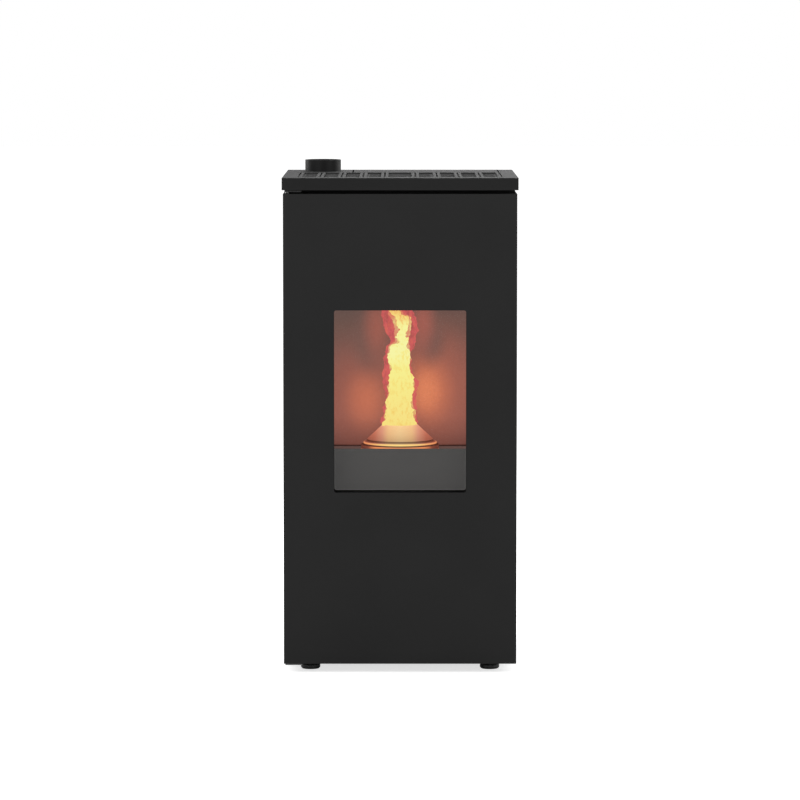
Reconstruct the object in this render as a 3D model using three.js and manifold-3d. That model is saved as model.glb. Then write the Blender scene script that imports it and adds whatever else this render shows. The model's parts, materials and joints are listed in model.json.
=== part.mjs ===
// A freestanding pellet stove: painted steel casing, full-height glazed door, fire chamber with a
// bell-shaped burner, ash drawer, slotted warm-air top, pellet hopper with auger, fans and flue.
// Millimetres. X runs to the right, Y to the back, Z up from the floor. Y is 0 on the door's face
// while the pieces are shaped, and the whole stove is then centred over its footprint.
import * as THREE from "three";
import { mergeVertices } from "three/addons/utils/BufferGeometryUtils.js";
import Module from "manifold-3d";

const wasm = await Module();
wasm.setup();

// ---------------------------------------------------------------- driving dimensions

const SEAT = 0.3; // gap that two touching pieces keep
const RUNNING = 0.3; // radial gap round a turning or sliding pin
const PAST = 1; // how far a cutting tool runs past the face it cuts

// Casing
const BODY_WIDTH = 500;
const CASE_DEPTH = 535; // door face to the back of the rear panel
const FLOOR_GAP = 20; // floor to the underside of the casing
const DOOR_HEIGHT = 1010.5;
const SHADOW_GAP = 8; // door to top plate
const CASE_SHEET = 1.5;
const FOLD = 12; // width of the returns on the side panels
const PAN_LIP = 24;
const DOOR_TO_FRAME = 5;
const DOOR_TO_SIDE = 3;
const FRAME_SHEET = 2;
const FRAME_TAB_INSET = 4; // the frame narrows above the door

// Top plate
const TOP_EDGE = 26;
const TOP_OVERHANG = 2.5;
const TOP_SHEET = 3;
const VENT_WIDTH = 30.5;
const CENTRE_VENT_WIDTH = 50.4;
const VENT_PITCH = 46.4;
const VENTS_EACH_SIDE = 4;
const SLIT_WIDTH = 3.5;
const VENT_SETBACK = 63; // from the plate's front edge
const VENT_TO_LID = 14.5;
const GUARD_SLOT = 5;
const GUARD_BAR = 4;
const GUARD_FIELDS = 3; // rows of slots side by side
const GUARD_BRIDGE = 8; // sheet left between two fields

// Lid
const LID_INSET = 33; // from the right side of the casing
const LID_TO_FLUE = 29; // lid's edge to the collar
const LID_LENGTH = 178.5;
const LID_GAP = 3;
const LID_FOLD = 10;
const LID_PIN_RADIUS = 2.5;
const LID_AXIS_IN = 5; // axis in from the back of the casing
const LID_AXIS_DOWN = 8; // axis below the plate's face
const LID_SWEEP = 12; // room that the lid's rear fold needs below its axis
const EAR_RADIUS = 4.2;
const EAR_WIDTH = 3;
const EAR_INSET = 5; // ear to the hopper's side
const EAR_ROOT = 5; // its foot, out from the hopper's back
const EAR_ROOT_HEIGHT = 20; // its foot below the hopper's rim
const PIN_FIT = 0.05; // lid's pin in the ears
const KNUCKLE_WIDTH = 12;

// Feet
const FOOT_INSET = 56; // from the side of the casing
const FRONT_FOOT_Y = 73;
const REAR_FOOT_INSET = 55; // from the back of the casing
const PAD_RADIUS = 21;
const PAD_HEIGHT = 10;
const PAD_BEVEL = 3;
const PAD_DISH = 4;
const LOCK_NUT = 3;
const STEM_RADIUS = 5;
const STEM_PAST_NUT = 10;
const NUT_HEIGHT = 12;

// Air openings in the base pan and the rear panel
const PAN_SLOTS = 5;
const PAN_SLOT_PITCH = 18;
const PAN_SLOT_HALF = 90;
const PAN_SLOT_WIDTH = 8;
const LOUVRE_PLACES = [-140, 0];
const LOUVRE_ROWS = 6;
const LOUVRE_PITCH = 20;
const LOUVRE_HALF = 50;
const LOUVRE_HEIGHT = 8;

// Door
const DOOR_DEPTH = 35;
const DOOR_SHEET = 2;
const WINDOW_WIDTH = 283;
const WINDOW_BOTTOM = 390.4;
const WINDOW_TOP = 781.8;
const WINDOW_CORNER = 5;
const REVEAL_DEPTH = 24;
const GLASS = 4;
const GLASS_LAP = 10.5;
const GLASS_FIT = 3; // glass to the opening in the inner frame
const GLASS_GASKET = 3;
const RETAINER_SHEET = 2;
const RETAINER_LAP = 20; // onto the inner frame
const ROPE = 10;
const ROPE_INSET = 31; // opening of the front frame to the rope gasket

// Hinges and catch
const HINGE_INSET = 9; // from the left side of the casing
const HINGE_Y = 18;
const HINGE_PIN_RADIUS = 3;
const HINGE_PIN_REACH = 22; // into the door
const HINGE_PLATE = 3;
const HINGE_PLATE_INSET = 3;
const HINGE_PLATE_WIDTH = 36;
const HINGE_LIFT = 3.9; // door to the upper plate
const UPPER_PLATE_LEAD = 10; // in front of the pin
const LOWER_PLATE_REACH = [14, 42]; // in front of the pin and behind it
const CATCH_INSET = 16; // from the right side of the casing
const CATCH_Z = 600;
const CATCH_WIDTH = 24;
const CATCH_HEIGHT = 70;
const CHEEK = 2;
const ROLLER_RADIUS = 6;
const ROLLER_PIN_RADIUS = 2;
const TONGUE = 4;

// Fire chamber
const OPENING_PAST_WINDOW = 13.5; // opening in the front frame past the window, each side
const CHAMBER_BOTTOM = 380;
const CHAMBER_TOP = 802;
const OPENING_BOTTOM = 386;
const OPENING_TOP = 800;
const SHELL_WALL = 3;
const SHELL_FLANGE = 15;
const SIDE_LINER = 20;
const BACK_LINER = 22;
const BACK_WALL_Y = 256; // face of the back liner
const HEARTH_Z = 468.5;
const HEARTH_SHEET = 3;
const HEARTH_BACK_Y = 228;
const LINER_TOP = 781;
const BAFFLE = 8;
const RAIL = 3;
const RAIL_REACH = 27;
const DRAWER_RIB_X = 105;
const DRAWER_RIB = 10;
const BAFFLE_FRONT = 105;
const SMOKE_PORT_HALF = 120;
const SMOKE_PORT_Y = [150, 265];
const SMOKE_PORT_LAP = 2; // the box's port inside the shell's

// Burner
const POT_Y = 140;
const POT_RADIUS = 50;
const POT_WALL = 4;
const POT_DEPTH = 28;
const POT_FLANGE = 12;
const POT_RIM = 3;
const POT_HOLES = 8;
const POT_HOLE_RADIUS = 4;
const POT_HOLE_CIRCLE = 28;
const BELL_RADIUS = 84.4;
const BELL_WALL = 4;
const BELL_SKIRT = 13;
const BELL_RING_RADIUS = 79.5;
const BELL_GROOVE_RADIUS = 72;
const BELL_GROOVE_RISE = 24;
const BELL_RISE = 56;
const BELL_MOUTH_RADIUS = 36;
const IGNITER_RADIUS = 5;
const IGNITER_OUT = 45; // behind the chamber's shell
const IGNITER_HOLE = 6; // radius
const IGNITER_FLANGE = { radius: 14, thickness: 3 };

// Ash drawer
const DRAWER_FRONT_Y = 50;
const DRAWER_TOP = 480.2;
const DRAWER_SHEET = 2;
const DRAWER_TRAY_INSET = 10; // tray's side to the opening's
const DRAWER_TRAY_HEIGHT = 46;
const DRAWER_TRAY_BACK = 236;
const DRAWER_SIDE_GAP = 2;

// Flue, smoke path and air
const FLUE_INSET = 78; // from the left side of the casing
const FLUE_BACK_INSET = 88.5; // from the back of the casing
const FLUE_RADIUS = 40;
const FLUE_WALL = 1.5;
const FLUE_RISE = 26; // above the plate
const COLLAR_WALL = 4;
const COLLAR_SPIGOT = 30;
const SMOKE_PAST_FLUE = 32; // the fan's axis to the right of the flue's
const SMOKE_BOX_TOP = 870;
const SMOKE_BOX_PAST_OPENING = 30; // each side
const SMOKE_BOX_FRONT = 60;
const FIN_HEIGHT = 90;
const FIN_COUNT = 14;
const FIN = 2;
const SMOKE_WALL = 2;
const DUCT_HALF = 32;
const DUCT_DEPTH = 58;
const DUCT_TO_FLUE = 2.5;
const FAN_Z = 300;
const FAN_RADIUS = 72;
const FAN_DEPTH = 82;
const FAN_INLET_RADIUS = 28;
const IMPELLER_RADIUS = 58;
const IMPELLER_BLADES = 8;
const IMPELLER_BLADE = 48;
const IMPELLER_PLATE = 2;
const IMPELLER_BACK = 22; // plate to the back of the housing
const IMPELLER_HUB = 10;
const NECK_TOP = 384;
const SMOKE_MOTOR_RADIUS = 38;
const SMOKE_MOTOR_LENGTH = 38;
const SMOKE_MOTOR_NOTCH = 9; // depth of its room for the neck
const SHAFT_RADIUS = 4;
const INTAKE_X = 90;
const INTAKE_Z = 425;
const INTAKE_RADIUS = 25;
const INTAKE_WALL = 1.5;
const INTAKE_OUT = 25; // behind the rear panel

// Pellet feed
const HOPPER_WALL = 1.5;
const HOPPER_INSET = 3; // lid's edge to the hopper's wall
const HOPPER_BACK_INSET = 17; // from the back of the casing
const HOPPER_RIM_DOWN = 14; // rim below the plate's face
const HOPPER_LEDGE = 10;
const HOPPER_FLANGE = 6; // on the bin, the funnel and the throat, where they meet
const FUNNEL_TOP = 820;
const FUNNEL_BOTTOM = 600;
const THROAT_HALF = 24;
const THROAT_BEFORE = 22; // throat's front to the auger's lower end
const THROAT_BEHIND = 52;
const THROAT_BOTTOM = 534;
const THROAT_SLOPE = 36;
const THROAT_BEND = 12;
const AUGER_TO_SHELL = 58.7; // its upper end behind the chamber's shell
const AUGER_BACK_INSET = 85; // its lower end from the back of the casing
const AUGER_Z = 500;
const AUGER_LENGTH = 220;
const AUGER_RADIUS = 30;
const AUGER_WALL = 3;
const SCREW_RADIUS = 25.5;
const SCREW_PITCH = 40;
const SCREW_SHAFT = 6;
const SCREW_STEPS = 12; // flats in a turn
const SCREW_BLADE = 3;
const SCREW_END = 3; // blade to the tube's end wall
const AUGER_CUT_PAST = 20; // the bar that makes room for the tube, past each end
const INLET_SPAN = [28, 92]; // along the auger's axis
const INLET_HALF = 18;
const OUTLET_SPAN = [168, 204];
const GEARBOX = 56;
const GEARBOX_LENGTH = 40;
const GEARMOTOR_RADIUS = 24;
const GEARMOTOR_LENGTH = 38;
const CHUTE_HALF = 21.5;
const CHUTE_HEIGHT = 46;
const CHUTE_WALL = 2;
const CHUTE_TILT = 38;
const CHUTE_Z = 590; // middle of its mouth at the back liner
const CHUTE_BEFORE = 40; // the bar runs this far in front of the back liner
const CHUTE_BEHIND = 110;
const CHUTE_BLOCK = 200; // half of the blocks that trim it
const CHUTE_PAST_AUGER = 12; // its back behind the auger's upper end

// Room fan
const ROOM_FAN_Y = 330;
const ROOM_FAN_Z = 170;
const ROOM_FAN_HALF = 110;
const ROOM_FAN_BOX = 100;
const ROOM_FAN_SHEET = 1.5;
const DRUM_RADIUS = 40;
const DRUM_BLADES = 12;
const DRUM_BLADE = [10, 1.5];
const DRUM_BLADE_IN = 6; // middle of a blade to the drum's rim
const DRUM_BLADE_LEAN = 25; // degrees
const DRUM_DISC = 2;
const ROOM_MOTOR_RADIUS = 30;
const ROOM_MOTOR_LENGTH = 50;

// Controls at the back
const MODULE_INSET = 50; // from the right side of the casing
const MODULE_BOTTOM = 54;
const MODULE_WIDTH = 32;
const MODULE_HEIGHT = 86;
const MODULE_DEPTH = 30;
const MODULE_FLANGE = 3;
const MODULE_LIP = 4;
const SOCKET_Z = 72;
const SOCKET_HALF = [12, 9];
const SOCKET_DEPTH = 17;
const SOCKET_PINS = [[-7, -2], [7, -2], [0, 3]]; // across and up from its middle
const ROCKER_Z = 101;
const BUTTON_Z = 127;
const BUTTON_RADIUS = 6;
const BUTTON_DEPTH = 15;
const ROCKER_WIDTH = 21.4;
const ROCKER_HALF = 9.5; // half of its hole's height
const ROCKER_DEPTH = 16;
const TRUNNION_RADIUS = 1.5;
const TRUNNION = 2.5;
const ROCKER_TIP = 6; // degrees off centre in each of its two places
const BOARD_BOX = [60, 140, 170];
const BOARD_BOX_BACK_INSET = 65; // from the back of the casing
const BOARD_BOX_Z = 90;
const BOARD_BOX_WALL = 2;
const BOARD_BOX_BACK = 10;
const BOARD_MARGIN = 10;
const BOARD = 4;

// ---------------------------------------------------------------- places that follow

const HALF = BODY_WIDTH / 2;
const DOOR_TOP = FLOOR_GAP + DOOR_HEIGHT;
const PLATE_BOTTOM = DOOR_TOP + SHADOW_GAP;
const PLATE_TOP = PLATE_BOTTOM + TOP_EDGE;
const PLATE_UNDER = PLATE_TOP - TOP_SHEET;
const PLATE_FRONT = -TOP_OVERHANG;
const PLATE_BACK = CASE_DEPTH + TOP_OVERHANG;
const PLATE_HALF = HALF + TOP_OVERHANG;
const INNER_HALF = HALF - CASE_SHEET - SEAT; // pieces that stand between the side panels
const FRAME_Y = DOOR_DEPTH + DOOR_TO_FRAME;
const FRAME_BACK = FRAME_Y + FRAME_SHEET;
const REAR_INNER = CASE_DEPTH - CASE_SHEET;
const REAR_RETURN = REAR_INNER - SEAT; // back of the returns and of the base pan
const PAN_TOP = FLOOR_GAP + CASE_SHEET;
const DECK_BOTTOM = DOOR_TOP - CASE_SHEET;
const TAB_HALF = HALF - FRAME_TAB_INSET;
const FLUE_X = FLUE_INSET - HALF;
const FLUE_Y = CASE_DEPTH - FLUE_BACK_INSET;
const LID_RIGHT = HALF - LID_INSET;
const LID_LEFT = FLUE_X + FLUE_RADIUS + LID_TO_FLUE;
const LID_FRONT = PLATE_BACK - LID_LENGTH;
const VENT_Y = [PLATE_FRONT + VENT_SETBACK, LID_FRONT - VENT_TO_LID];
const LID_AXIS = { y: CASE_DEPTH - LID_AXIS_IN, z: PLATE_TOP - LID_AXIS_DOWN };
const FOOT_X = HALF - FOOT_INSET;
const REAR_FOOT_Y = CASE_DEPTH - REAR_FOOT_INSET;
const HINGE_X = HINGE_INSET - HALF;
const HINGE_PLATE_X = [HINGE_PLATE_INSET - HALF, HINGE_PLATE_INSET + HINGE_PLATE_WIDTH - HALF];
const CATCH_X = HALF - CATCH_INSET;
const MODULE_X = HALF - MODULE_INSET;
const WINDOW_HALF = WINDOW_WIDTH / 2;
const GLASS_Y = REVEAL_DEPTH + SEAT;
const GLASS_GASKET_Y = GLASS_Y + GLASS + SEAT;
const INNER_FRAME_BACK = GLASS_GASKET_Y + GLASS_GASKET;
const RETAINER_Y = INNER_FRAME_BACK + SEAT;
const GLASS_HALF = WINDOW_HALF + GLASS_LAP;
const GLASS_BOTTOM = WINDOW_BOTTOM - GLASS_LAP;
const GLASS_TOP = WINDOW_TOP + GLASS_LAP;
const OPENING_HALF = WINDOW_HALF + OPENING_PAST_WINDOW;
const SMOKE_BOX_HALF = OPENING_HALF + SMOKE_BOX_PAST_OPENING;
const SHELL_FRONT = FRAME_BACK + SEAT;
const LINER_FACE = OPENING_HALF + 2;
const SHELL_INNER_HALF = LINER_FACE + SIDE_LINER + SEAT;
const SHELL_HALF = SHELL_INNER_HALF + SHELL_WALL;
const SHELL_INNER_BACK = BACK_WALL_Y + BACK_LINER + SEAT;
const SHELL_BACK = SHELL_INNER_BACK + SHELL_WALL;
const RAIL_TOP = HEARTH_Z - HEARTH_SHEET - SEAT;
const LINER_BOTTOM = RAIL_TOP + SEAT;
const POT_CENTRE = { x: 0, y: POT_Y };
const DRAWER_BOTTOM = OPENING_BOTTOM + 0.5;
const SMOKE_X = FLUE_X + SMOKE_PAST_FLUE;
const SMOKE_BOX_BACK = FLUE_Y - FLUE_RADIUS - DUCT_TO_FLUE - DUCT_DEPTH;
const DUCT_FRONT = SMOKE_BOX_BACK + SEAT;
const DUCT_BACK = DUCT_FRONT + DUCT_DEPTH;
const FAN_FRONT = DUCT_BACK + SEAT;
const FAN_BACK = FAN_FRONT + FAN_DEPTH;
const FAN_AXIS = { x: SMOKE_X, z: FAN_Z };
const FLUE = { x: FLUE_X, y: FLUE_Y };
const PIPE_TOP = PLATE_UNDER - SEAT - 3;
const HOPPER_X = [LID_LEFT + HOPPER_INSET, LID_RIGHT - HOPPER_INSET];
const HOPPER_Y = [LID_FRONT + HOPPER_INSET, CASE_DEPTH - HOPPER_BACK_INSET];
const RIM_Z = PLATE_TOP - HOPPER_RIM_DOWN;
const AUGER_Y = CASE_DEPTH - AUGER_BACK_INSET;
const AUGER_TOP_Y = SHELL_BACK + AUGER_TO_SHELL;
const AUGER_TILT = Math.asin((AUGER_Y - AUGER_TOP_Y) / AUGER_LENGTH); // from upright, to the front
const THROAT_Y = [AUGER_Y - THROAT_BEFORE, AUGER_Y + THROAT_BEHIND];
const ORIGIN_Y = (PLATE_FRONT + CASE_DEPTH + INTAKE_OUT) / 2;

// ---------------------------------------------------------------- materials

const finish = (color, roughness, metalness) =>
  new THREE.MeshStandardMaterial({ color, roughness, metalness });
const FINISH = {
  blackPaint: finish(0x2a2a2a, 0.5, 0.2),
  greyPaint: finish(0x4d4d4d, 0.6, 0.2),
  heatPaint: finish(0x1f1f1f, 0.8, 0.2),
  galvanised: finish(0x9a9d9f, 0.45, 0.9),
  steel: finish(0xb5b5b5, 0.3, 1),
  castIron: finish(0x8a5238, 0.7, 0.6),
  fireboard: finish(0x7c5a4c, 0.95, 0),
  rope: finish(0x3a3835, 1, 0),
  blackPlastic: finish(0x161616, 0.6, 0),
  aluminium: finish(0xa8aaac, 0.4, 1),
  silicone: finish(0x26262a, 0.8, 0),
  glass: new THREE.MeshStandardMaterial({
    color: 0x2b2622,
    roughness: 0.05,
    transparent: true,
    opacity: 0.25,
  }),
};

// ---------------------------------------------------------------- shaping

// A closed geometry as a solid that can be joined and cut.
function solid(geometry) {
  geometry.deleteAttribute("normal");
  geometry.deleteAttribute("uv");
  const merged = mergeVertices(geometry, 1e-4);
  const vertProperties = merged.attributes.position.array;
  const triVerts = new Uint32Array(merged.index.array);
  return new wasm.Manifold(new wasm.Mesh({ numProp: 3, vertProperties, triVerts }));
}

// A block between two values on each axis.
function block([x0, x1], [y0, y1], [z0, z1]) {
  const geometry = new THREE.BoxGeometry(x1 - x0, y1 - y0, z1 - z0);
  geometry.translate((x0 + x1) / 2, (y0 + y1) / 2, (z0 + z1) / 2);
  return solid(geometry);
}

const AXIS_TURN = { x: ["rotateZ", -Math.PI / 2], y: ["rotateX", 0], z: ["rotateX", Math.PI / 2] };

// A round bar along an axis, between two values on it.
function bar(axis, radius, [from, to], centre, segments = 24) {
  const geometry = new THREE.CylinderGeometry(radius, radius, to - from, segments);
  const [turn, angle] = AXIS_TURN[axis];
  geometry[turn](angle);
  const middle = { x: 0, y: 0, z: 0, ...centre, [axis]: (from + to) / 2 };
  geometry.translate(middle.x, middle.y, middle.z);
  return solid(geometry);
}

function pipe(axis, radius, wall, span, centre, segments = 24) {
  const [from, to] = span;
  return bar(axis, radius, span, centre, segments).subtract(
    bar(axis, radius - wall, [from - PAST, to + PAST], centre, segments),
  );
}

// A profile of [radius, height] points turned about an upright axis.
function turned(profile, { x = 0, y = 0 } = {}, segments = 32) {
  const points = profile.map(([radius, height]) => new THREE.Vector2(radius, height));
  const geometry = new THREE.LatheGeometry(points, segments);
  geometry.rotateX(Math.PI / 2);
  geometry.translate(x, y, 0);
  return solid(geometry);
}

const ACROSS = new THREE.Matrix4().makeBasis(
  new THREE.Vector3(0, 1, 0),
  new THREE.Vector3(0, 0, 1),
  new THREE.Vector3(1, 0, 0),
);

// An outline of [y, z] points drawn along X.
function prism(outline, [from, to]) {
  const shape = new THREE.Shape(outline.map(([a, b]) => new THREE.Vector2(a, b)));
  const geometry = new THREE.ExtrudeGeometry(shape, { depth: to - from, bevelEnabled: false });
  geometry.translate(0, 0, from);
  geometry.applyMatrix4(ACROSS);
  return solid(geometry);
}

// A plate that stands across the front, with round corners.
function frontPlate([x0, x1], [z0, z1], [y0, y1], corner, segments = 4) {
  const shape = new THREE.Shape();
  shape.moveTo(x0 + corner, z0);
  shape.lineTo(x1 - corner, z0);
  shape.absarc(x1 - corner, z0 + corner, corner, -Math.PI / 2, 0);
  shape.lineTo(x1, z1 - corner);
  shape.absarc(x1 - corner, z1 - corner, corner, 0, Math.PI / 2);
  shape.lineTo(x0 + corner, z1);
  shape.absarc(x0 + corner, z1 - corner, corner, Math.PI / 2, Math.PI);
  shape.lineTo(x0, z0 + corner);
  shape.absarc(x0 + corner, z0 + corner, corner, Math.PI, 1.5 * Math.PI);
  const geometry = new THREE.ExtrudeGeometry(shape, {
    depth: y1 - y0,
    bevelEnabled: false,
    curveSegments: segments,
  });
  geometry.rotateX(Math.PI / 2);
  geometry.translate(0, y1, 0);
  return solid(geometry);
}

// A four-sided funnel between two level rectangles, each given as [x0, x1, y0, y1].
function funnel(lower, lowerZ, upper, upperZ) {
  const corners = ([x0, x1, y0, y1], z) => [
    [x0, y0, z],
    [x1, y0, z],
    [x1, y1, z],
    [x0, y1, z],
  ];
  const position = [...corners(lower, lowerZ), ...corners(upper, upperZ)].flat();
  const index = [0, 2, 1, 0, 3, 2, 4, 5, 6, 4, 6, 7];
  for (let side = 0; side < 4; side++) {
    const next = (side + 1) % 4;
    index.push(side, next, side + 4, next, next + 4, side + 4);
  }
  const geometry = new THREE.BufferGeometry();
  geometry.setAttribute("position", new THREE.Float32BufferAttribute(position, 3));
  geometry.setIndex(index);
  return solid(geometry);
}

const grow = ([from, to], by) => [from - by, to + by];
const both = (half) => [-half, half];
const union = (solids) => solids.reduce((joined, next) => joined.add(next));
const cutAll = (body, tools) => tools.reduce((left, tool) => left.subtract(tool), body);

// A box with walls, whose named sides are left open.
function shell(x, y, z, wall, open = {}) {
  const span = (range, side) => [
    open[side + "0"] ? range[0] - PAST : range[0] + wall,
    open[side + "1"] ? range[1] + PAST : range[1] - wall,
  ];
  return block(x, y, z).subtract(block(span(x, "x"), span(y, "y"), span(z, "z")));
}

function mesh(name, body, material) {
  const { vertProperties, triVerts } = body.getMesh();
  const geometry = new THREE.BufferGeometry();
  geometry.setAttribute("position", new THREE.BufferAttribute(vertProperties, 3));
  geometry.setIndex(new THREE.BufferAttribute(triVerts, 1));
  const made = new THREE.Mesh(geometry, material);
  made.name = name;
  return made;
}

// ---------------------------------------------------------------- casing

const FEET = {
  front_left: [-FOOT_X, FRONT_FOOT_Y],
  front_right: [FOOT_X, FRONT_FOOT_Y],
  rear_left: [-FOOT_X, REAR_FOOT_Y],
  rear_right: [FOOT_X, REAR_FOOT_Y],
};

function makeBasePan() {
  const sheet = block(both(INNER_HALF), [FRAME_Y, REAR_RETURN], [FLOOR_GAP, PAN_TOP]);
  const lipZ = [FLOOR_GAP, FLOOR_GAP + PAN_LIP];
  const lipY = [SHELL_FRONT + CASE_SHEET + SEAT, REAR_RETURN - CASE_SHEET - SEAT];
  const left = block([-INNER_HALF, CASE_SHEET - INNER_HALF], lipY, lipZ);
  const right = block([INNER_HALF - CASE_SHEET, INNER_HALF], lipY, lipZ);
  const nuts = Object.values(FEET).map(([x, y]) =>
    bar("z", 2 * STEM_RADIUS, [FLOOR_GAP, PAN_TOP + NUT_HEIGHT], { x, y }, 6),
  );
  const bores = Object.values(FEET).map(([x, y]) =>
    bar("z", STEM_RADIUS + RUNNING, [FLOOR_GAP - PAST, PAN_TOP + NUT_HEIGHT + PAST], { x, y }, 16),
  );
  const slots = [];
  for (let step = 0; step < PAN_SLOTS; step++) {
    const y = ROOM_FAN_Y + PAN_SLOT_PITCH * (step - (PAN_SLOTS - 1) / 2);
    const across = grow([y, y], PAN_SLOT_WIDTH / 2);
    slots.push(block(both(PAN_SLOT_HALF), across, grow([FLOOR_GAP, PAN_TOP], PAST)));
  }
  return cutAll(union([sheet, left, right, ...nuts]), [...bores, ...slots]);
}

// The side panel on the right; the left one is its mirror image.
function makeSidePanel(side) {
  const across = (inner) => (side > 0 ? [HALF - inner, HALF] : [-HALF, inner - HALF]);
  const depth = [DOOR_DEPTH + DOOR_TO_SIDE, CASE_DEPTH];
  const height = [FLOOR_GAP, DOOR_TOP];
  const sheet = block(across(CASE_SHEET), depth, height);
  const foldZ = [PAN_TOP + SEAT, DECK_BOTTOM - SEAT];
  const frontFold = block(across(FOLD), [SHELL_FRONT, SHELL_FRONT + CASE_SHEET], foldZ);
  const rearFold = block(across(FOLD), [REAR_RETURN - CASE_SHEET, REAR_RETURN], foldZ);
  const topFold = block(
    across(FOLD),
    [SHELL_FRONT, REAR_RETURN],
    [DECK_BOTTOM - SEAT - CASE_SHEET, DECK_BOTTOM - SEAT],
  );
  return union([sheet, frontFold, rearFold, topFold]);
}

function makeRearPanel() {
  const panelY = [REAR_INNER, CASE_DEPTH];
  const cutY = grow(panelY, PAST);
  const panel = block(both(INNER_HALF), panelY, [FLOOR_GAP, DOOR_TOP]);
  const lidTab = block([LID_LEFT, LID_RIGHT], panelY, [DOOR_TOP - PAST, LID_AXIS.z - LID_SWEEP]);
  const intake = bar("y", INTAKE_RADIUS + SEAT, cutY, { x: INTAKE_X, z: INTAKE_Z });
  const module = block(
    grow([MODULE_X, MODULE_X], MODULE_WIDTH / 2 + SEAT),
    cutY,
    [MODULE_BOTTOM - SEAT, MODULE_BOTTOM + MODULE_HEIGHT + SEAT],
  );
  const louvres = [];
  for (const x of LOUVRE_PLACES) {
    for (let row = 0; row < LOUVRE_ROWS; row++) {
      const z = ROOM_FAN_Z + LOUVRE_PITCH * (row - (LOUVRE_ROWS - 1) / 2);
      louvres.push(block(grow([x, x], LOUVRE_HALF), cutY, grow([z, z], LOUVRE_HEIGHT / 2)));
    }
  }
  return cutAll(panel.add(lidTab), [intake, module, ...louvres]);
}

function makeFrontFrame() {
  const y = [FRAME_Y, FRAME_BACK];
  const plate = block(both(INNER_HALF), y, [PAN_TOP + SEAT, DOOR_TOP]);
  const tab = block(both(TAB_HALF), y, [DOOR_TOP - PAST, PLATE_UNDER - SEAT]);
  const flange = block(
    both(TAB_HALF),
    [FRAME_Y, FRAME_BACK + FOLD],
    [PLATE_UNDER - SEAT - CASE_SHEET, PLATE_UNDER - SEAT],
  );
  const opening = block(both(OPENING_HALF), grow(y, PAST), [OPENING_BOTTOM, OPENING_TOP]);
  return union([plate, tab, flange]).subtract(opening);
}

// The wide air openings of the top, from left to right, each as [x0, x1].
function ventSpans() {
  const spans = [both(CENTRE_VENT_WIDTH / 2)];
  for (let step = 1; step <= VENTS_EACH_SIDE; step++) {
    const middle = CENTRE_VENT_WIDTH / 2 - VENT_WIDTH / 2 + VENT_PITCH * step;
    spans.push(grow([middle, middle], VENT_WIDTH / 2));
    spans.unshift(grow([-middle, -middle], VENT_WIDTH / 2));
  }
  return spans;
}

// From the left edge of the first wide opening to the right edge of the last.
function airSpan() {
  const spans = ventSpans();
  return [spans[0][0], spans[spans.length - 1][1]];
}

// The narrow slits lie midway between the openings and outside the last ones.
function slitPlaces() {
  const first = (CENTRE_VENT_WIDTH + VENT_PITCH - VENT_WIDTH) / 2;
  const places = [];
  for (let step = 0; step <= VENTS_EACH_SIDE; step++) {
    places.push(first + VENT_PITCH * step, -first - VENT_PITCH * step);
  }
  return places;
}

function makeTopPlate() {
  const depth = [PLATE_FRONT, PLATE_BACK];
  const plate = block(both(PLATE_HALF), depth, [PLATE_BOTTOM, PLATE_TOP]);
  const hollow = block(
    both(PLATE_HALF - TOP_SHEET),
    grow(depth, -TOP_SHEET),
    [PLATE_BOTTOM - PAST, PLATE_UNDER],
  );
  const through = [PLATE_UNDER - PAST, PLATE_TOP + PAST];
  const vents = ventSpans().map((span) => block(span, VENT_Y, through));
  const slits = slitPlaces().map((x) => block(grow([x, x], SLIT_WIDTH / 2), VENT_Y, through));
  const height = [PLATE_BOTTOM - PAST, PLATE_TOP + PAST];
  const lidX = [LID_LEFT, LID_RIGHT];
  const lid = block(grow(lidX, LID_GAP), [LID_FRONT - LID_GAP, PLATE_BACK - TOP_SHEET], height);
  const lidFold = block(grow(lidX, SEAT), [LID_FRONT, PLATE_BACK + PAST], height);
  const flue = bar("z", FLUE_RADIUS + SEAT, through, FLUE, 40);
  return cutAll(plate, [hollow, lid, lidFold, flue, ...vents, ...slits]);
}

// A sheet under the air openings, with rows of long slots across them.
function makeOutletGuard() {
  const z = [PLATE_UNDER - SEAT - CASE_SHEET, PLATE_UNDER - SEAT];
  const depth = [FRAME_BACK + FOLD + SEAT, LID_FRONT - LID_GAP];
  const sheet = block(both(TAB_HALF - CASE_SHEET - SEAT), depth, z);
  const [left, right] = airSpan();
  const field = (right - left) / GUARD_FIELDS;
  const pitch = GUARD_SLOT + GUARD_BAR;
  const rows = Math.floor((VENT_Y[1] - VENT_Y[0]) / pitch);
  const slots = [];
  for (let row = 0; row < rows; row++) {
    const y = (VENT_Y[0] + VENT_Y[1]) / 2 + (row - (rows - 1) / 2) * pitch;
    for (let place = 0; place < GUARD_FIELDS; place++) {
      const x = [left + place * field, left + (place + 1) * field];
      slots.push(block(grow(x, -GUARD_BRIDGE / 2), grow([y, y], GUARD_SLOT / 2), grow(z, PAST)));
    }
  }
  return cutAll(sheet, slots);
}

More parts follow.
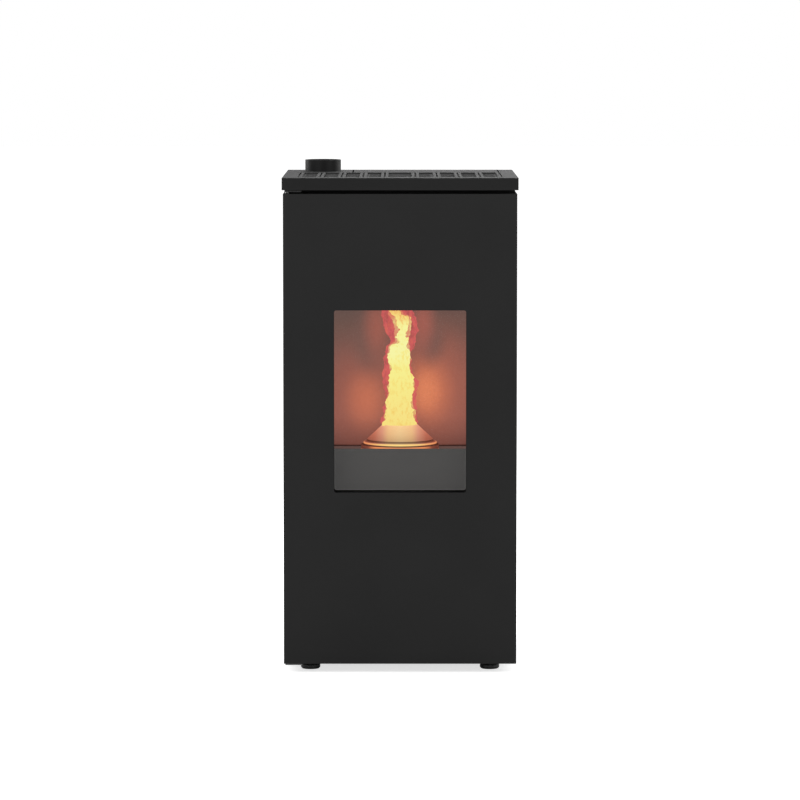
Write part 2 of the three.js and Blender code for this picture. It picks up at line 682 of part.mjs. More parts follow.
function makeDeck() {
  const z = [DECK_BOTTOM, DOOR_TOP];
  const depth = [FRAME_BACK + SEAT, REAR_RETURN];
  const sheet = block(both(INNER_HALF), depth, z);
  const railZ = [DECK_BOTTOM, PLATE_UNDER - SEAT];
  const railY = [FRAME_BACK + FOLD + SEAT, REAR_RETURN];
  const left = block([-TAB_HALF, CASE_SHEET - TAB_HALF], railY, railZ);
  const right = block([TAB_HALF - CASE_SHEET, TAB_HALF], railY, railZ);
  const hopper = block(grow(HOPPER_X, SEAT), grow(HOPPER_Y, SEAT), grow(z, PAST));
  const flueHalf = FLUE_RADIUS + SEAT;
  const flue = block(grow([FLUE_X, FLUE_X], flueHalf), grow([FLUE_Y, FLUE_Y], flueHalf), grow(z, PAST));
  const air = block(airSpan(), VENT_Y, grow(z, PAST));
  return cutAll(union([sheet, left, right]), [hopper, flue, air]);
}

// Threaded foot with a dished pad and a lock nut under the pan, on its own axis.
function makeFoot() {
  const nutTop = FLOOR_GAP - SEAT;
  return turned([
    [0, 0],
    [PAD_RADIUS - PAD_BEVEL, 0],
    [PAD_RADIUS, PAD_BEVEL],
    [PAD_RADIUS, PAD_HEIGHT - 2],
    [PAD_RADIUS - 1.5, PAD_HEIGHT],
    [PAD_RADIUS - 3.5, PAD_HEIGHT],
    [PAD_RADIUS - 4.5, PAD_HEIGHT - PAD_DISH],
    [STEM_RADIUS, PAD_HEIGHT - PAD_DISH],
    [STEM_RADIUS, nutTop - LOCK_NUT],
    [PAD_RADIUS - PAD_BEVEL, nutTop - LOCK_NUT],
    [PAD_RADIUS - PAD_BEVEL, nutTop],
    [STEM_RADIUS, nutTop],
    [STEM_RADIUS, PAN_TOP + NUT_HEIGHT + STEM_PAST_NUT],
    [0, PAN_TOP + NUT_HEIGHT + STEM_PAST_NUT],
  ], {}, 20);
}

function makeLid() {
  const x = [LID_LEFT, LID_RIGHT];
  const plate = block(x, [LID_FRONT, PLATE_BACK], [PLATE_UNDER, PLATE_TOP]);
  const fold = block(x, [PLATE_BACK - TOP_SHEET, PLATE_BACK], [PLATE_TOP - LID_FOLD, PLATE_TOP]);
  const knuckles = earSpans().map(([, inner]) => {
    const span = inner < (LID_LEFT + LID_RIGHT) / 2
      ? [inner + SEAT, inner + SEAT + KNUCKLE_WIDTH]
      : [inner - SEAT - KNUCKLE_WIDTH, inner - SEAT];
    const y = grow([LID_AXIS.y, LID_AXIS.y], EAR_RADIUS + 0.5);
    return block(span, y, [LID_AXIS.z - EAR_RADIUS, PLATE_TOP - PAST]);
  });
  const bore = bar("x", LID_PIN_RADIUS + RUNNING, x, LID_AXIS, 16);
  return union([plate, fold, ...knuckles]).subtract(bore);
}

// The two ears that carry the lid's pin, each as [outer, inner] face.
function earSpans() {
  const left = HOPPER_X[0] + EAR_INSET;
  const right = HOPPER_X[1] - EAR_INSET;
  return [
    [left, left + EAR_WIDTH],
    [right, right - EAR_WIDTH],
  ];
}

function makeLidPin() {
  const [[left], [right]] = earSpans();
  return bar("x", LID_PIN_RADIUS, [left - 2, right + 2], LID_AXIS, 16);
}

// ---------------------------------------------------------------- door

const hingePin = (radius, span) => bar("z", radius, span, { x: HINGE_X, y: HINGE_Y }, 16);

function makeDoorSkin() {
  const x = both(HALF);
  const y = [0, DOOR_DEPTH];
  const z = [FLOOR_GAP, DOOR_TOP];
  const tray = shell(x, y, z, DOOR_SHEET, { y1: true });
  const windowX = both(WINDOW_HALF);
  const windowZ = [WINDOW_BOTTOM, WINDOW_TOP];
  const reveal = frontPlate(
    grow(windowX, DOOR_SHEET),
    grow(windowZ, DOOR_SHEET),
    [0, REVEAL_DEPTH],
    WINDOW_CORNER + DOOR_SHEET,
  );
  const hole = frontPlate(windowX, windowZ, grow([0, REVEAL_DEPTH], PAST), WINDOW_CORNER);
  const bore = hingePin(HINGE_PIN_RADIUS + RUNNING, grow(z, PAST));
  return cutAll(tray.add(reveal), [hole, bore]);
}

function makeDoorInnerFrame() {
  const plateX = both(HALF - DOOR_SHEET - SEAT);
  const plateZ = grow([FLOOR_GAP, DOOR_TOP], -DOOR_SHEET - SEAT);
  const y = [INNER_FRAME_BACK - RETAINER_SHEET, INNER_FRAME_BACK];
  const plate = block(plateX, y, plateZ);
  const opening = block(
    both(GLASS_HALF + GLASS_FIT),
    grow(y, PAST),
    [GLASS_BOTTOM - GLASS_FIT, GLASS_TOP + GLASS_FIT],
  );
  const catchHole = block(
    [CATCH_X - CATCH_WIDTH / 2 - 3, HALF],
    grow(y, PAST),
    grow([CATCH_Z, CATCH_Z], CATCH_HEIGHT / 2 + 5),
  );
  return cutAll(plate, [opening, catchHole]);
}

const makeGlass = () =>
  frontPlate(both(GLASS_HALF), [GLASS_BOTTOM, GLASS_TOP], [GLASS_Y, GLASS_Y + GLASS], WINDOW_CORNER, 2);

function makeGlassGasket() {
  const y = [GLASS_GASKET_Y, GLASS_GASKET_Y + GLASS_GASKET];
  const outer = block(both(GLASS_HALF), y, [GLASS_BOTTOM, GLASS_TOP]);
  const lap = GLASS_LAP - 2;
  const inner = block(both(GLASS_HALF - lap), grow(y, PAST), [GLASS_BOTTOM + lap, GLASS_TOP - lap]);
  return outer.subtract(inner);
}

function makeRetainer(side) {
  const inner = WINDOW_HALF + 2.5;
  const outer = GLASS_HALF + GLASS_FIT + RETAINER_LAP;
  const x = side > 0 ? [inner, outer] : [-outer, -inner];
  return block(x, [RETAINER_Y, RETAINER_Y + RETAINER_SHEET], [GLASS_BOTTOM, GLASS_TOP]);
}

function makeDoorGasket() {
  const y = [RETAINER_Y, FRAME_Y - SEAT];
  const inX = both(OPENING_HALF + ROPE_INSET);
  const inZ = grow([OPENING_BOTTOM, OPENING_TOP], ROPE_INSET - 10);
  const outer = frontPlate(grow(inX, ROPE), grow(inZ, ROPE), y, 3 * ROPE);
  const inner = frontPlate(inX, inZ, grow(y, PAST), 2 * ROPE);
  return outer.subtract(inner);
}

function makeUpperHinge() {
  const z = [DOOR_TOP + HINGE_LIFT, DOOR_TOP + HINGE_LIFT + HINGE_PLATE];
  const legX = [1 - TAB_HALF, HINGE_PLATE_X[1]];
  const plate = block(HINGE_PLATE_X, [HINGE_Y - UPPER_PLATE_LEAD, FRAME_Y - SEAT], z);
  const leg = block(legX, [FRAME_Y - SEAT - FRAME_SHEET, FRAME_Y - SEAT], [z[0], PLATE_UNDER - 5]);
  return union([plate, leg, hingePin(HINGE_PIN_RADIUS, [DOOR_TOP - HINGE_PIN_REACH, z[1]])]);
}

function makeLowerHinge() {
  const z = [FLOOR_GAP - SEAT - HINGE_PLATE, FLOOR_GAP - SEAT];
  const [lead, trail] = LOWER_PLATE_REACH;
  const plate = block(HINGE_PLATE_X, [HINGE_Y - lead, HINGE_Y + trail], z);
  return plate.add(hingePin(HINGE_PIN_RADIUS, [z[0], FLOOR_GAP + HINGE_PIN_REACH]));
}

const rollerZ = (side) => CATCH_Z + side * (ROLLER_RADIUS + TONGUE / 2 + SEAT);
const ROLLER_Y = REVEAL_DEPTH;

function makeCatchBody() {
  const x = grow([CATCH_X, CATCH_X], CATCH_WIDTH / 2);
  const height = grow([CATCH_Z, CATCH_Z], CATCH_HEIGHT / 2);
  const base = block(x, [FRAME_Y - SEAT - 3, FRAME_Y - SEAT], height);
  const cheekY = [ROLLER_Y - ROLLER_RADIUS, FRAME_Y - SEAT - PAST];
  const cheekZ = grow(height, -10);
  const left = block([x[0], x[0] + CHEEK], cheekY, cheekZ);
  const right = block([x[1] - CHEEK, x[1]], cheekY, cheekZ);
  const pins = [-1, 1].map((side) =>
    bar("x", ROLLER_PIN_RADIUS, x, { y: ROLLER_Y, z: rollerZ(side) }, 12),
  );
  return union([base, left, right, ...pins]);
}

function makeRoller() {
  const half = CATCH_WIDTH / 2 - CHEEK - SEAT;
  return pipe("x", ROLLER_RADIUS, ROLLER_RADIUS - ROLLER_PIN_RADIUS - RUNNING, both(half), {}, 20);
}

function makeTongue() {
  const half = CATCH_WIDTH / 2 - CHEEK - 2;
  const x = grow([CATCH_X, CATCH_X], half);
  const foot = block(x, [DOOR_SHEET + SEAT, DOOR_SHEET + SEAT + 2], grow([CATCH_Z, CATCH_Z], 18));
  const blade = block(x, [DOOR_SHEET + SEAT, ROLLER_Y + 8], grow([CATCH_Z, CATCH_Z], TONGUE / 2));
  return foot.add(blade);
}

// ---------------------------------------------------------------- fire chamber

// The rotated bar that the chute fills, larger by a margin on each side.
function chuteBar(margin, wall = 0) {
  const length = CHUTE_BEFORE + CHUTE_BEHIND;
  const geometry = new THREE.BoxGeometry(
    2 * (CHUTE_HALF - wall + margin),
    length + 2 * wall,
    CHUTE_HEIGHT - 2 * wall + 2 * margin,
  );
  geometry.translate(0, length / 2 - CHUTE_BEFORE, 0);
  geometry.rotateX(THREE.MathUtils.degToRad(CHUTE_TILT));
  geometry.translate(0, BACK_WALL_Y, CHUTE_Z);
  return solid(geometry);
}

function makeFireboxShell() {
  const x = both(SHELL_HALF);
  const z = [CHAMBER_BOTTOM, CHAMBER_TOP];
  const box = shell(x, [SHELL_FRONT, SHELL_BACK], z, SHELL_WALL, { y0: true });
  const flangeY = [SHELL_FRONT, SHELL_FRONT + SHELL_WALL];
  const flange = block(grow(x, SHELL_FLANGE), flangeY, grow(z, SHELL_FLANGE)).subtract(
    block(both(SHELL_INNER_HALF), grow(flangeY, PAST), grow(z, -SHELL_WALL)),
  );
  const railZ = [RAIL_TOP - RAIL, RAIL_TOP];
  const railY = [DRAWER_FRONT_Y + DRAWER_SHEET + 1, SHELL_INNER_BACK + PAST];
  const rails = [-1, 1].map((side) => {
    const ends = [side * (SHELL_INNER_HALF - RAIL_REACH), side * (SHELL_INNER_HALF + PAST)];
    return block([Math.min(...ends), Math.max(...ends)], railY, railZ);
  });
  const backRailY = [SHELL_INNER_BACK - BACK_LINER + 6, SHELL_INNER_BACK + PAST];
  const backRail = block(both(SHELL_INNER_HALF), backRailY, railZ);
  const ribY = [DRAWER_FRONT_Y, DRAWER_TRAY_BACK];
  const ribZ = [CHAMBER_BOTTOM + PAST, DRAWER_BOTTOM - SEAT];
  const ribs = [-DRAWER_RIB_X, DRAWER_RIB_X].map((x) => block(grow([x, x], DRAWER_RIB / 2), ribY, ribZ));
  const backY = [SHELL_INNER_BACK - PAST, SHELL_BACK + PAST];
  const intake = bar("y", INTAKE_RADIUS - INTAKE_WALL, backY, { x: INTAKE_X, z: INTAKE_Z });
  const igniter = bar("y", IGNITER_HOLE, backY, { x: 0, z: igniterZ() }, 16);
  const smokeZ = grow([CHAMBER_TOP - SHELL_WALL, CHAMBER_TOP], PAST);
  const smoke = block(both(SMOKE_PORT_HALF), SMOKE_PORT_Y, smokeZ);
  const body = union([box, flange, ...rails, backRail, ...ribs]);
  return cutAll(body, [chuteBar(SEAT), intake, igniter, smoke]);
}

const igniterZ = () => HEARTH_Z - POT_DEPTH / 2;

function makeSideLiner(side) {
  const ends = [side * LINER_FACE, side * (SHELL_INNER_HALF - SEAT)];
  return block(
    [Math.min(...ends), Math.max(...ends)],
    [DRAWER_FRONT_Y + DRAWER_SHEET + 1, SHELL_INNER_BACK - SEAT],
    [LINER_BOTTOM, LINER_TOP - SEAT],
  );
}

function makeBackLiner() {
  const slab = block(
    both(LINER_FACE - SEAT),
    [BACK_WALL_Y, SHELL_INNER_BACK - SEAT],
    [LINER_BOTTOM, LINER_TOP - SEAT],
  );
  return slab.subtract(chuteBar(SEAT));
}

function makeBaffle() {
  const y = [BAFFLE_FRONT, SHELL_INNER_BACK - SEAT];
  return block(both(SHELL_INNER_HALF - SEAT), y, [LINER_TOP, LINER_TOP + BAFFLE]);
}

function makeHearthPlate() {
  const z = [HEARTH_Z - HEARTH_SHEET, HEARTH_Z];
  const y = [DRAWER_FRONT_Y + DRAWER_SHEET + 1, HEARTH_BACK_Y];
  const sheet = block(both(LINER_FACE - SEAT), y, z);
  return sheet.subtract(bar("z", POT_RADIUS + 2, grow(z, PAST), POT_CENTRE, 40));
}

function makeBurnPot() {
  const top = HEARTH_Z + SEAT + POT_RIM;
  const bottom = HEARTH_Z - POT_DEPTH;
  const inner = POT_RADIUS - POT_WALL;
  const cup = turned(
    [
      [0, bottom],
      [POT_RADIUS, bottom],
      [POT_RADIUS, top - POT_RIM],
      [POT_RADIUS + POT_FLANGE, top - POT_RIM],
      [POT_RADIUS + POT_FLANGE, top],
      [inner, top],
      [inner, bottom + POT_WALL],
      [0, bottom + POT_WALL],
    ],
    POT_CENTRE,
    28,
  );
  const holes = [];
  for (let step = 0; step < POT_HOLES; step++) {
    const angle = (step / POT_HOLES) * 2 * Math.PI;
    const x = POT_HOLE_CIRCLE * Math.cos(angle);
    const y = POT_Y + POT_HOLE_CIRCLE * Math.sin(angle);
    holes.push(bar("z", POT_HOLE_RADIUS, grow([bottom, bottom + POT_WALL], PAST), { x, y }, 8));
  }
  return cutAll(cup, holes);
}

function makeFlameBell() {
  const foot = HEARTH_Z + SEAT;
  const groove = foot + BELL_GROOVE_RISE;
  const top = foot + BELL_RISE;
  return turned(
    [
      [BELL_RADIUS - BELL_WALL, foot],
      [BELL_RADIUS, foot],
      [BELL_RADIUS, foot + BELL_SKIRT],
      [BELL_RING_RADIUS, foot + BELL_SKIRT + 1.5],
      [BELL_RING_RADIUS, foot + BELL_SKIRT + 5.5],
      [BELL_GROOVE_RADIUS + 2, groove - 4],
      [BELL_GROOVE_RADIUS, groove - 3],
      [BELL_GROOVE_RADIUS, groove],
      [BELL_MOUTH_RADIUS + 2, top - 0.5],
      [BELL_MOUTH_RADIUS, top],
      [BELL_MOUTH_RADIUS - 2, top - 0.5],
      [BELL_MOUTH_RADIUS - 2, top - 4],
      [BELL_GROOVE_RADIUS - BELL_WALL - 2, groove - 2],
      [BELL_GROOVE_RADIUS - BELL_WALL - 2, groove - 6],
      [BELL_RADIUS - BELL_WALL, foot + BELL_SKIRT - 2],
      [BELL_RADIUS - BELL_WALL, foot],
    ],
    POT_CENTRE,
    40,
  );
}

function makeIgniter() {
  const centre = { x: 0, z: igniterZ() };
  const { radius, thickness } = IGNITER_FLANGE;
  const rod = bar("y", IGNITER_RADIUS, [POT_Y + POT_RADIUS + SEAT, SHELL_BACK + IGNITER_OUT], centre, 16);
  const flange = bar("y", radius, [SHELL_BACK + SEAT, SHELL_BACK + SEAT + thickness], centre, 20);
  return rod.add(flange);
}

function makeAshDrawer() {
  const front = block(
    both(OPENING_HALF - DRAWER_SIDE_GAP),
    [DRAWER_FRONT_Y, DRAWER_FRONT_Y + DRAWER_SHEET],
    [DRAWER_BOTTOM, DRAWER_TOP],
  );
  const tray = shell(
    both(OPENING_HALF - DRAWER_TRAY_INSET),
    [DRAWER_FRONT_Y, DRAWER_TRAY_BACK],
    [DRAWER_BOTTOM, DRAWER_BOTTOM + DRAWER_TRAY_HEIGHT],
    DRAWER_SHEET,
    { z1: true },
  );
  return front.add(tray);
}

// ---------------------------------------------------------------- smoke path and combustion air

const ductWindow = [CHAMBER_TOP + 13, SMOKE_BOX_TOP - 10];

function makeSmokeBox() {
  const x = both(SMOKE_BOX_HALF);
  const y = [SMOKE_BOX_FRONT, SMOKE_BOX_BACK];
  const z = [CHAMBER_TOP + SEAT, SMOKE_BOX_TOP];
  const box = shell(x, y, z, SMOKE_WALL);
  const inlet = block(
    both(SMOKE_PORT_HALF - SMOKE_PORT_LAP),
    grow(SMOKE_PORT_Y, -SMOKE_PORT_LAP),
    [z[0] - PAST, z[0] + SMOKE_WALL + PAST],
  );
  const outlet = block(
    grow([SMOKE_X, SMOKE_X], DUCT_HALF - 4),
    [SMOKE_BOX_BACK - SMOKE_WALL - PAST, SMOKE_BOX_BACK + PAST],
    ductWindow,
  );
  const fins = [];
  for (let step = 0; step < FIN_COUNT; step++) {
    const middle = (2 * (step + 0.5) / FIN_COUNT - 1) * (SMOKE_BOX_HALF - 5);
    const finZ = [SMOKE_BOX_TOP - PAST, SMOKE_BOX_TOP + FIN_HEIGHT];
    fins.push(block(grow([middle, middle], FIN / 2), grow(y, -15), finZ));
  }
  return cutAll(union([box, ...fins]), [inlet, outlet]);
}

function makeSmokeDuct() {
  const x = grow([SMOKE_X, SMOKE_X], DUCT_HALF);
  const y = [DUCT_FRONT, DUCT_BACK];
  const z = [FAN_Z - FAN_INLET_RADIUS - 10, SMOKE_BOX_TOP];
  const tube = shell(x, y, z, SMOKE_WALL);
  const inlet = block(grow(x, -4), [DUCT_FRONT - PAST, DUCT_FRONT + SMOKE_WALL + PAST], ductWindow);
  const outlet = block(
    grow([SMOKE_X, SMOKE_X], FAN_INLET_RADIUS),
    [DUCT_BACK - SMOKE_WALL - PAST, DUCT_BACK + PAST],
    grow([FAN_Z, FAN_Z], FAN_INLET_RADIUS),
  );
  return cutAll(tube, [inlet, outlet]);
}

function makeSmokeFanHousing() {
  const y = [FAN_FRONT, FAN_BACK];
  const innerY = grow(y, -SMOKE_WALL);
  const neckX = grow([FLUE_X, FLUE_X], FLUE_RADIUS + 1);
  const neckY = [FAN_FRONT, Math.max(FAN_BACK, FLUE_Y + FLUE_RADIUS)];
  const scroll = bar("y", FAN_RADIUS, y, FAN_AXIS, 28);
  const neck = block(neckX, neckY, [FAN_Z, NECK_TOP]);
  const scrollHollow = bar("y", FAN_RADIUS - SMOKE_WALL, innerY, FAN_AXIS, 28);
  const neckHollow = block(
    grow(neckX, -SMOKE_WALL),
    grow(neckY, -SMOKE_WALL),
    [FAN_Z, NECK_TOP - SMOKE_WALL],
  );
  const through = (face) => grow([face, face], SMOKE_WALL + PAST);
  const inlet = bar("y", FAN_INLET_RADIUS, through(FAN_FRONT), FAN_AXIS);
  const shaft = bar("y", SHAFT_RADIUS + RUNNING, through(FAN_BACK), FAN_AXIS, 16);
  const outlet = bar("z", FLUE_RADIUS - COLLAR_WALL, through(NECK_TOP), FLUE, 28);
  return cutAll(scroll.add(neck), [scrollHollow, neckHollow, inlet, shaft, outlet]);
}

function makeSmokeFanRotor() {
  const back = FAN_BACK - IMPELLER_BACK;
  const backPlate = bar("y", IMPELLER_RADIUS, [back - IMPELLER_PLATE, back], FAN_AXIS, 32);
  const hub = bar("y", IMPELLER_HUB, [FAN_FRONT + 20, back], FAN_AXIS, 20);
  const shaft = bar("y", SHAFT_RADIUS, [FAN_FRONT + 16, FAN_BACK + 14], FAN_AXIS, 16);
  const blades = [];
  for (let step = 0; step < IMPELLER_BLADES; step++) {
    const geometry = new THREE.BoxGeometry(IMPELLER_BLADE, FAN_DEPTH - 2 * IMPELLER_BACK, IMPELLER_PLATE);
    geometry.translate(IMPELLER_HUB + IMPELLER_BLADE / 2 - 1, (FAN_FRONT + FAN_BACK) / 2 - IMPELLER_PLATE, 0);
    geometry.rotateY((step / IMPELLER_BLADES) * 2 * Math.PI);
    geometry.translate(FAN_AXIS.x, 0, FAN_AXIS.z);
    blades.push(solid(geometry));
  }
  return union([backPlate, hub, shaft, ...blades]);
}

function makeSmokeFanMotor() {
  const from = FAN_BACK + SEAT;
  const can = bar("y", SMOKE_MOTOR_RADIUS, [from + 4, from + SMOKE_MOTOR_LENGTH], FAN_AXIS, 32);
  const face = bar("y", SMOKE_MOTOR_RADIUS + 8, [from, from + 4], FAN_AXIS, 32);
  const neckSide = block(
    [FLUE_X - FLUE_RADIUS - 10, FLUE_X + FLUE_RADIUS + 1 + SEAT],
    [from - PAST, from + SMOKE_MOTOR_NOTCH],
    [FAN_Z - PAST, NECK_TOP],
  );
  const bore = bar("y", SHAFT_RADIUS + RUNNING, [from - PAST, from + 16], FAN_AXIS, 16);
  return cutAll(can.add(face), [neckSide, bore]);
}

const makeFluePipe = () => pipe("z", FLUE_RADIUS, FLUE_WALL, [NECK_TOP + SEAT, PIPE_TOP], FLUE, 40);

function makeFlueCollar() {
  const seat = PIPE_TOP + SEAT;
  const inner = FLUE_RADIUS - COLLAR_WALL;
  const spigot = FLUE_RADIUS - FLUE_WALL - SEAT;
  return turned(
    [
      [inner, seat - COLLAR_SPIGOT],
      [spigot, seat - COLLAR_SPIGOT],
      [spigot, seat],
      [FLUE_RADIUS, seat],
      [FLUE_RADIUS, PLATE_TOP + FLUE_RISE - 1],
      [FLUE_RADIUS - 1, PLATE_TOP + FLUE_RISE],
      [inner, PLATE_TOP + FLUE_RISE],
      [inner, seat - COLLAR_SPIGOT],
    ],
    FLUE,
    40,
  );
}

function makeAirIntake() {
  const span = [SHELL_BACK + SEAT, CASE_DEPTH + INTAKE_OUT];
  return pipe("y", INTAKE_RADIUS, INTAKE_WALL, span, { x: INTAKE_X, z: INTAKE_Z }, 32);
}

// ---------------------------------------------------------------- pellet feed

// A bar round the auger's slanted axis, from below its lower end to above its upper end.
function augerBar(radius) {
  const length = AUGER_LENGTH + 2 * AUGER_CUT_PAST;
  const geometry = new THREE.CylinderGeometry(radius, radius, length, 32);
  geometry.rotateX(Math.PI / 2);
  geometry.translate(0, 0, AUGER_LENGTH / 2);
  geometry.rotateX(AUGER_TILT);
  geometry.translate(0, AUGER_Y, AUGER_Z);
  return solid(geometry);
}

// The bin, with the ledge that carries the lid's seal and the ears that carry its pin.
function makeHopper() {
  const back = HOPPER_Y[1];
  const w = HOPPER_WALL;
  const foot = FUNNEL_TOP + SEAT;
  const bin = block(HOPPER_X, HOPPER_Y, [foot, RIM_Z]);
  const flange = hopperFlange([foot, foot + w]);
  const inside = block(grow(HOPPER_X, -w), grow(HOPPER_Y, -w), [foot - PAST, RIM_Z - w]);
  const mouth = block(
    grow(HOPPER_X, -HOPPER_LEDGE),
    grow(HOPPER_Y, -HOPPER_LEDGE),
    [RIM_Z - 2 * w, RIM_Z + PAST],
  );
  const ears = earSpans().map((span) => {
    const x = [Math.min(...span), Math.max(...span)];
    const arm = block(x, [back - PAST / 2, LID_AXIS.y], grow([LID_AXIS.z, LID_AXIS.z], EAR_RADIUS));
    const root = block(x, [back - PAST / 2, back + EAR_ROOT], [RIM_Z - EAR_ROOT_HEIGHT, LID_AXIS.z]);
    return union([arm, root, bar("x", EAR_RADIUS, x, LID_AXIS, 20)]);
  });
  const pinBore = bar("x", LID_PIN_RADIUS + PIN_FIT, grow(HOPPER_X, PAST), LID_AXIS, 16);
  return cutAll(union([bin, flange, ...ears]), [inside, mouth, pinBore]);
}

function hopperFlange(z) {
  return block(grow(HOPPER_X, HOPPER_FLANGE), grow(HOPPER_Y, HOPPER_FLANGE), z);
}

function throatFlange(z) {
  return block(both(THROAT_HALF + HOPPER_FLANGE), grow(THROAT_Y, HOPPER_FLANGE), z);
}

// The funnel under the bin, down to the flange that the throat hangs on.
function makeHopperFunnel() {
  const w = HOPPER_WALL;
  const wide = [...HOPPER_X, ...HOPPER_Y];
  const narrow = [...both(THROAT_HALF), ...THROAT_Y];
  const shrink = ([a, b, c, d]) => [a + w, b - w, c + w, d - w];
  const outside = union([
    hopperFlange([FUNNEL_TOP - w, FUNNEL_TOP]),
    funnel(narrow, FUNNEL_BOTTOM, wide, FUNNEL_TOP),
    throatFlange([FUNNEL_BOTTOM, FUNNEL_BOTTOM + w]),
  ]);
  const inside = union([
    block(grow(HOPPER_X, -w), grow(HOPPER_Y, -w), [FUNNEL_TOP, FUNNEL_TOP + PAST]),
    funnel(shrink(narrow), FUNNEL_BOTTOM, shrink(wide), FUNNEL_TOP),
    block(both(THROAT_HALF - w), grow(THROAT_Y, -w), grow([FUNNEL_BOTTOM, FUNNEL_BOTTOM], PAST)),
  ]);
  return cutAll(outside, [inside, augerBar(AUGER_RADIUS + SEAT)]);
}

// The throat lets the pellets into the auger's tube.
function makeHopperThroat() {
  const w = HOPPER_WALL;
  const [front, back] = THROAT_Y;
  const top = FUNNEL_BOTTOM - SEAT;
  const line = (inset, above) => [
    [front + inset, top + above],
    [front + inset, THROAT_BOTTOM + inset],
    [back - THROAT_SLOPE - inset / 2, THROAT_BOTTOM + inset],
    [back - inset, FUNNEL_BOTTOM - THROAT_BEND],
    [back - inset, top + above],
  ];
  const outside = throatFlange([top - w, top]).add(prism(line(0, 0), both(THROAT_HALF)));
  const inside = prism(line(w, PAST), both(THROAT_HALF - w));
  return cutAll(outside, [inside, augerBar(AUGER_RADIUS + SEAT)]);
}

function makeLidSeal() {
  const z = [RIM_Z + SEAT, PLATE_UNDER - SEAT];
  const outer = block(grow(HOPPER_X, -1), grow(HOPPER_Y, -1), z);
  const lap = 1 - HOPPER_LEDGE;
  const inner = block(grow(HOPPER_X, lap), grow(HOPPER_Y, lap), grow(z, PAST));
  return outer.subtract(inner);
}

// The auger's pieces lie along Z from its lower end; a group leans them forward.
function makeAugerTube() {
  const inner = AUGER_RADIUS - AUGER_WALL;
  const tube = bar("z", AUGER_RADIUS, [0, AUGER_LENGTH], {}, 32);
  const hollow = bar("z", inner, [AUGER_WALL, AUGER_LENGTH - AUGER_WALL], {}, 32);
  const shaft = bar("z", SCREW_SHAFT + RUNNING, grow([0, AUGER_LENGTH], PAST), {}, 20);
  const inlet = block(both(INLET_HALF), [0, AUGER_RADIUS + PAST], INLET_SPAN);
  const outlet = block(both(CHUTE_HALF - 3), [-AUGER_RADIUS - PAST, 0], OUTLET_SPAN);
  return cutAll(tube, [hollow, shaft, inlet, outlet]);
}

// A flat blade wound round the shaft: a rectangle carried up a helix.
function makeAugerScrew() {
  const from = AUGER_WALL + SCREW_END;
  const to = AUGER_LENGTH - from;
  const turns = (to - from - SCREW_BLADE) / SCREW_PITCH;
  const steps = Math.round(turns * SCREW_STEPS);
  const inner = SCREW_SHAFT - 1;
  const position = [];
  const index = [];
  for (let step = 0; step <= steps; step++) {
    const angle = (step / SCREW_STEPS) * 2 * Math.PI;
    const z = from + (step / SCREW_STEPS) * SCREW_PITCH;
    const corners = [[inner, 0], [SCREW_RADIUS, 0], [SCREW_RADIUS, SCREW_BLADE], [inner, SCREW_BLADE]];
    for (const [radius, rise] of corners) {
      position.push(radius * Math.cos(angle), radius * Math.sin(angle), z + rise);
    }
  }
  for (let step = 0; step < steps; step++) {
    for (let side = 0; side < 4; side++) {
      const a = 4 * step + side;
      const b = 4 * step + ((side + 1) % 4);
      index.push(a, a + 4, b, b, a + 4, b + 4);
    }
  }
  const last = 4 * steps;
  index.push(0, 1, 2, 0, 2, 3, last, last + 2, last + 1, last, last + 3, last + 2);
  const geometry = new THREE.BufferGeometry();
  geometry.setAttribute("position", new THREE.Float32BufferAttribute(position, 3));
  geometry.setIndex(index);
  const shaft = bar("z", SCREW_SHAFT, [-12, AUGER_LENGTH + 4], {}, 16);
  return shaft.add(solid(geometry));
}

function makeGearmotor() {
  const top = -SEAT;
  const gearbox = block(both(GEARBOX / 2), both(GEARBOX / 2), [top - GEARBOX_LENGTH, top]);
  const motorTop = top - GEARBOX_LENGTH;
  const motor = bar("z", GEARMOTOR_RADIUS, [motorTop - GEARMOTOR_LENGTH, motorTop + PAST], {}, 28);
  const bore = bar("z", SCREW_SHAFT + RUNNING, [-14, PAST], {}, 20);
  return gearbox.add(motor).subtract(bore);
}

function makeChute() {
  const outside = chuteBar(0);
  const inside = chuteBar(0, CHUTE_WALL);
  const wide = both(CHUTE_BLOCK);
  const high = grow([CHUTE_Z, CHUTE_Z], CHUTE_BLOCK);
  const front = block(wide, [BACK_WALL_Y - CHUTE_BLOCK, BACK_WALL_Y + PAST], high);
  const behind = block(wide, [AUGER_TOP_Y + CHUTE_PAST_AUGER, AUGER_TOP_Y + CHUTE_BLOCK], high);
  return cutAll(outside, [inside, front, behind, augerBar(AUGER_RADIUS + SEAT)]).decompose()[0];
}

// ---------------------------------------------------------------- room air

const ROOM_FAN_AXIS = { y: ROOM_FAN_Y, z: ROOM_FAN_Z };

function makeRoomFanHousing() {
  const y = grow([ROOM_FAN_Y, ROOM_FAN_Y], ROOM_FAN_BOX / 2);
  const z = grow([ROOM_FAN_Z, ROOM_FAN_Z], ROOM_FAN_BOX / 2);
  const sleeve = shell(both(ROOM_FAN_HALF), y, z, ROOM_FAN_SHEET, { z0: true, z1: true });
  const legs = [-1, 1].map((side) => {
    const ends = [side * (ROOM_FAN_HALF - ROOM_FAN_SHEET), side * ROOM_FAN_HALF];
    return block([Math.min(...ends), Math.max(...ends)], y, [PAN_TOP + SEAT, z[0] + PAST]);
  });
  const bore = bar("x", SHAFT_RADIUS + RUNNING, grow(both(ROOM_FAN_HALF), PAST), ROOM_FAN_AXIS, 16);
  return union([sleeve, ...legs]).subtract(bore);
}

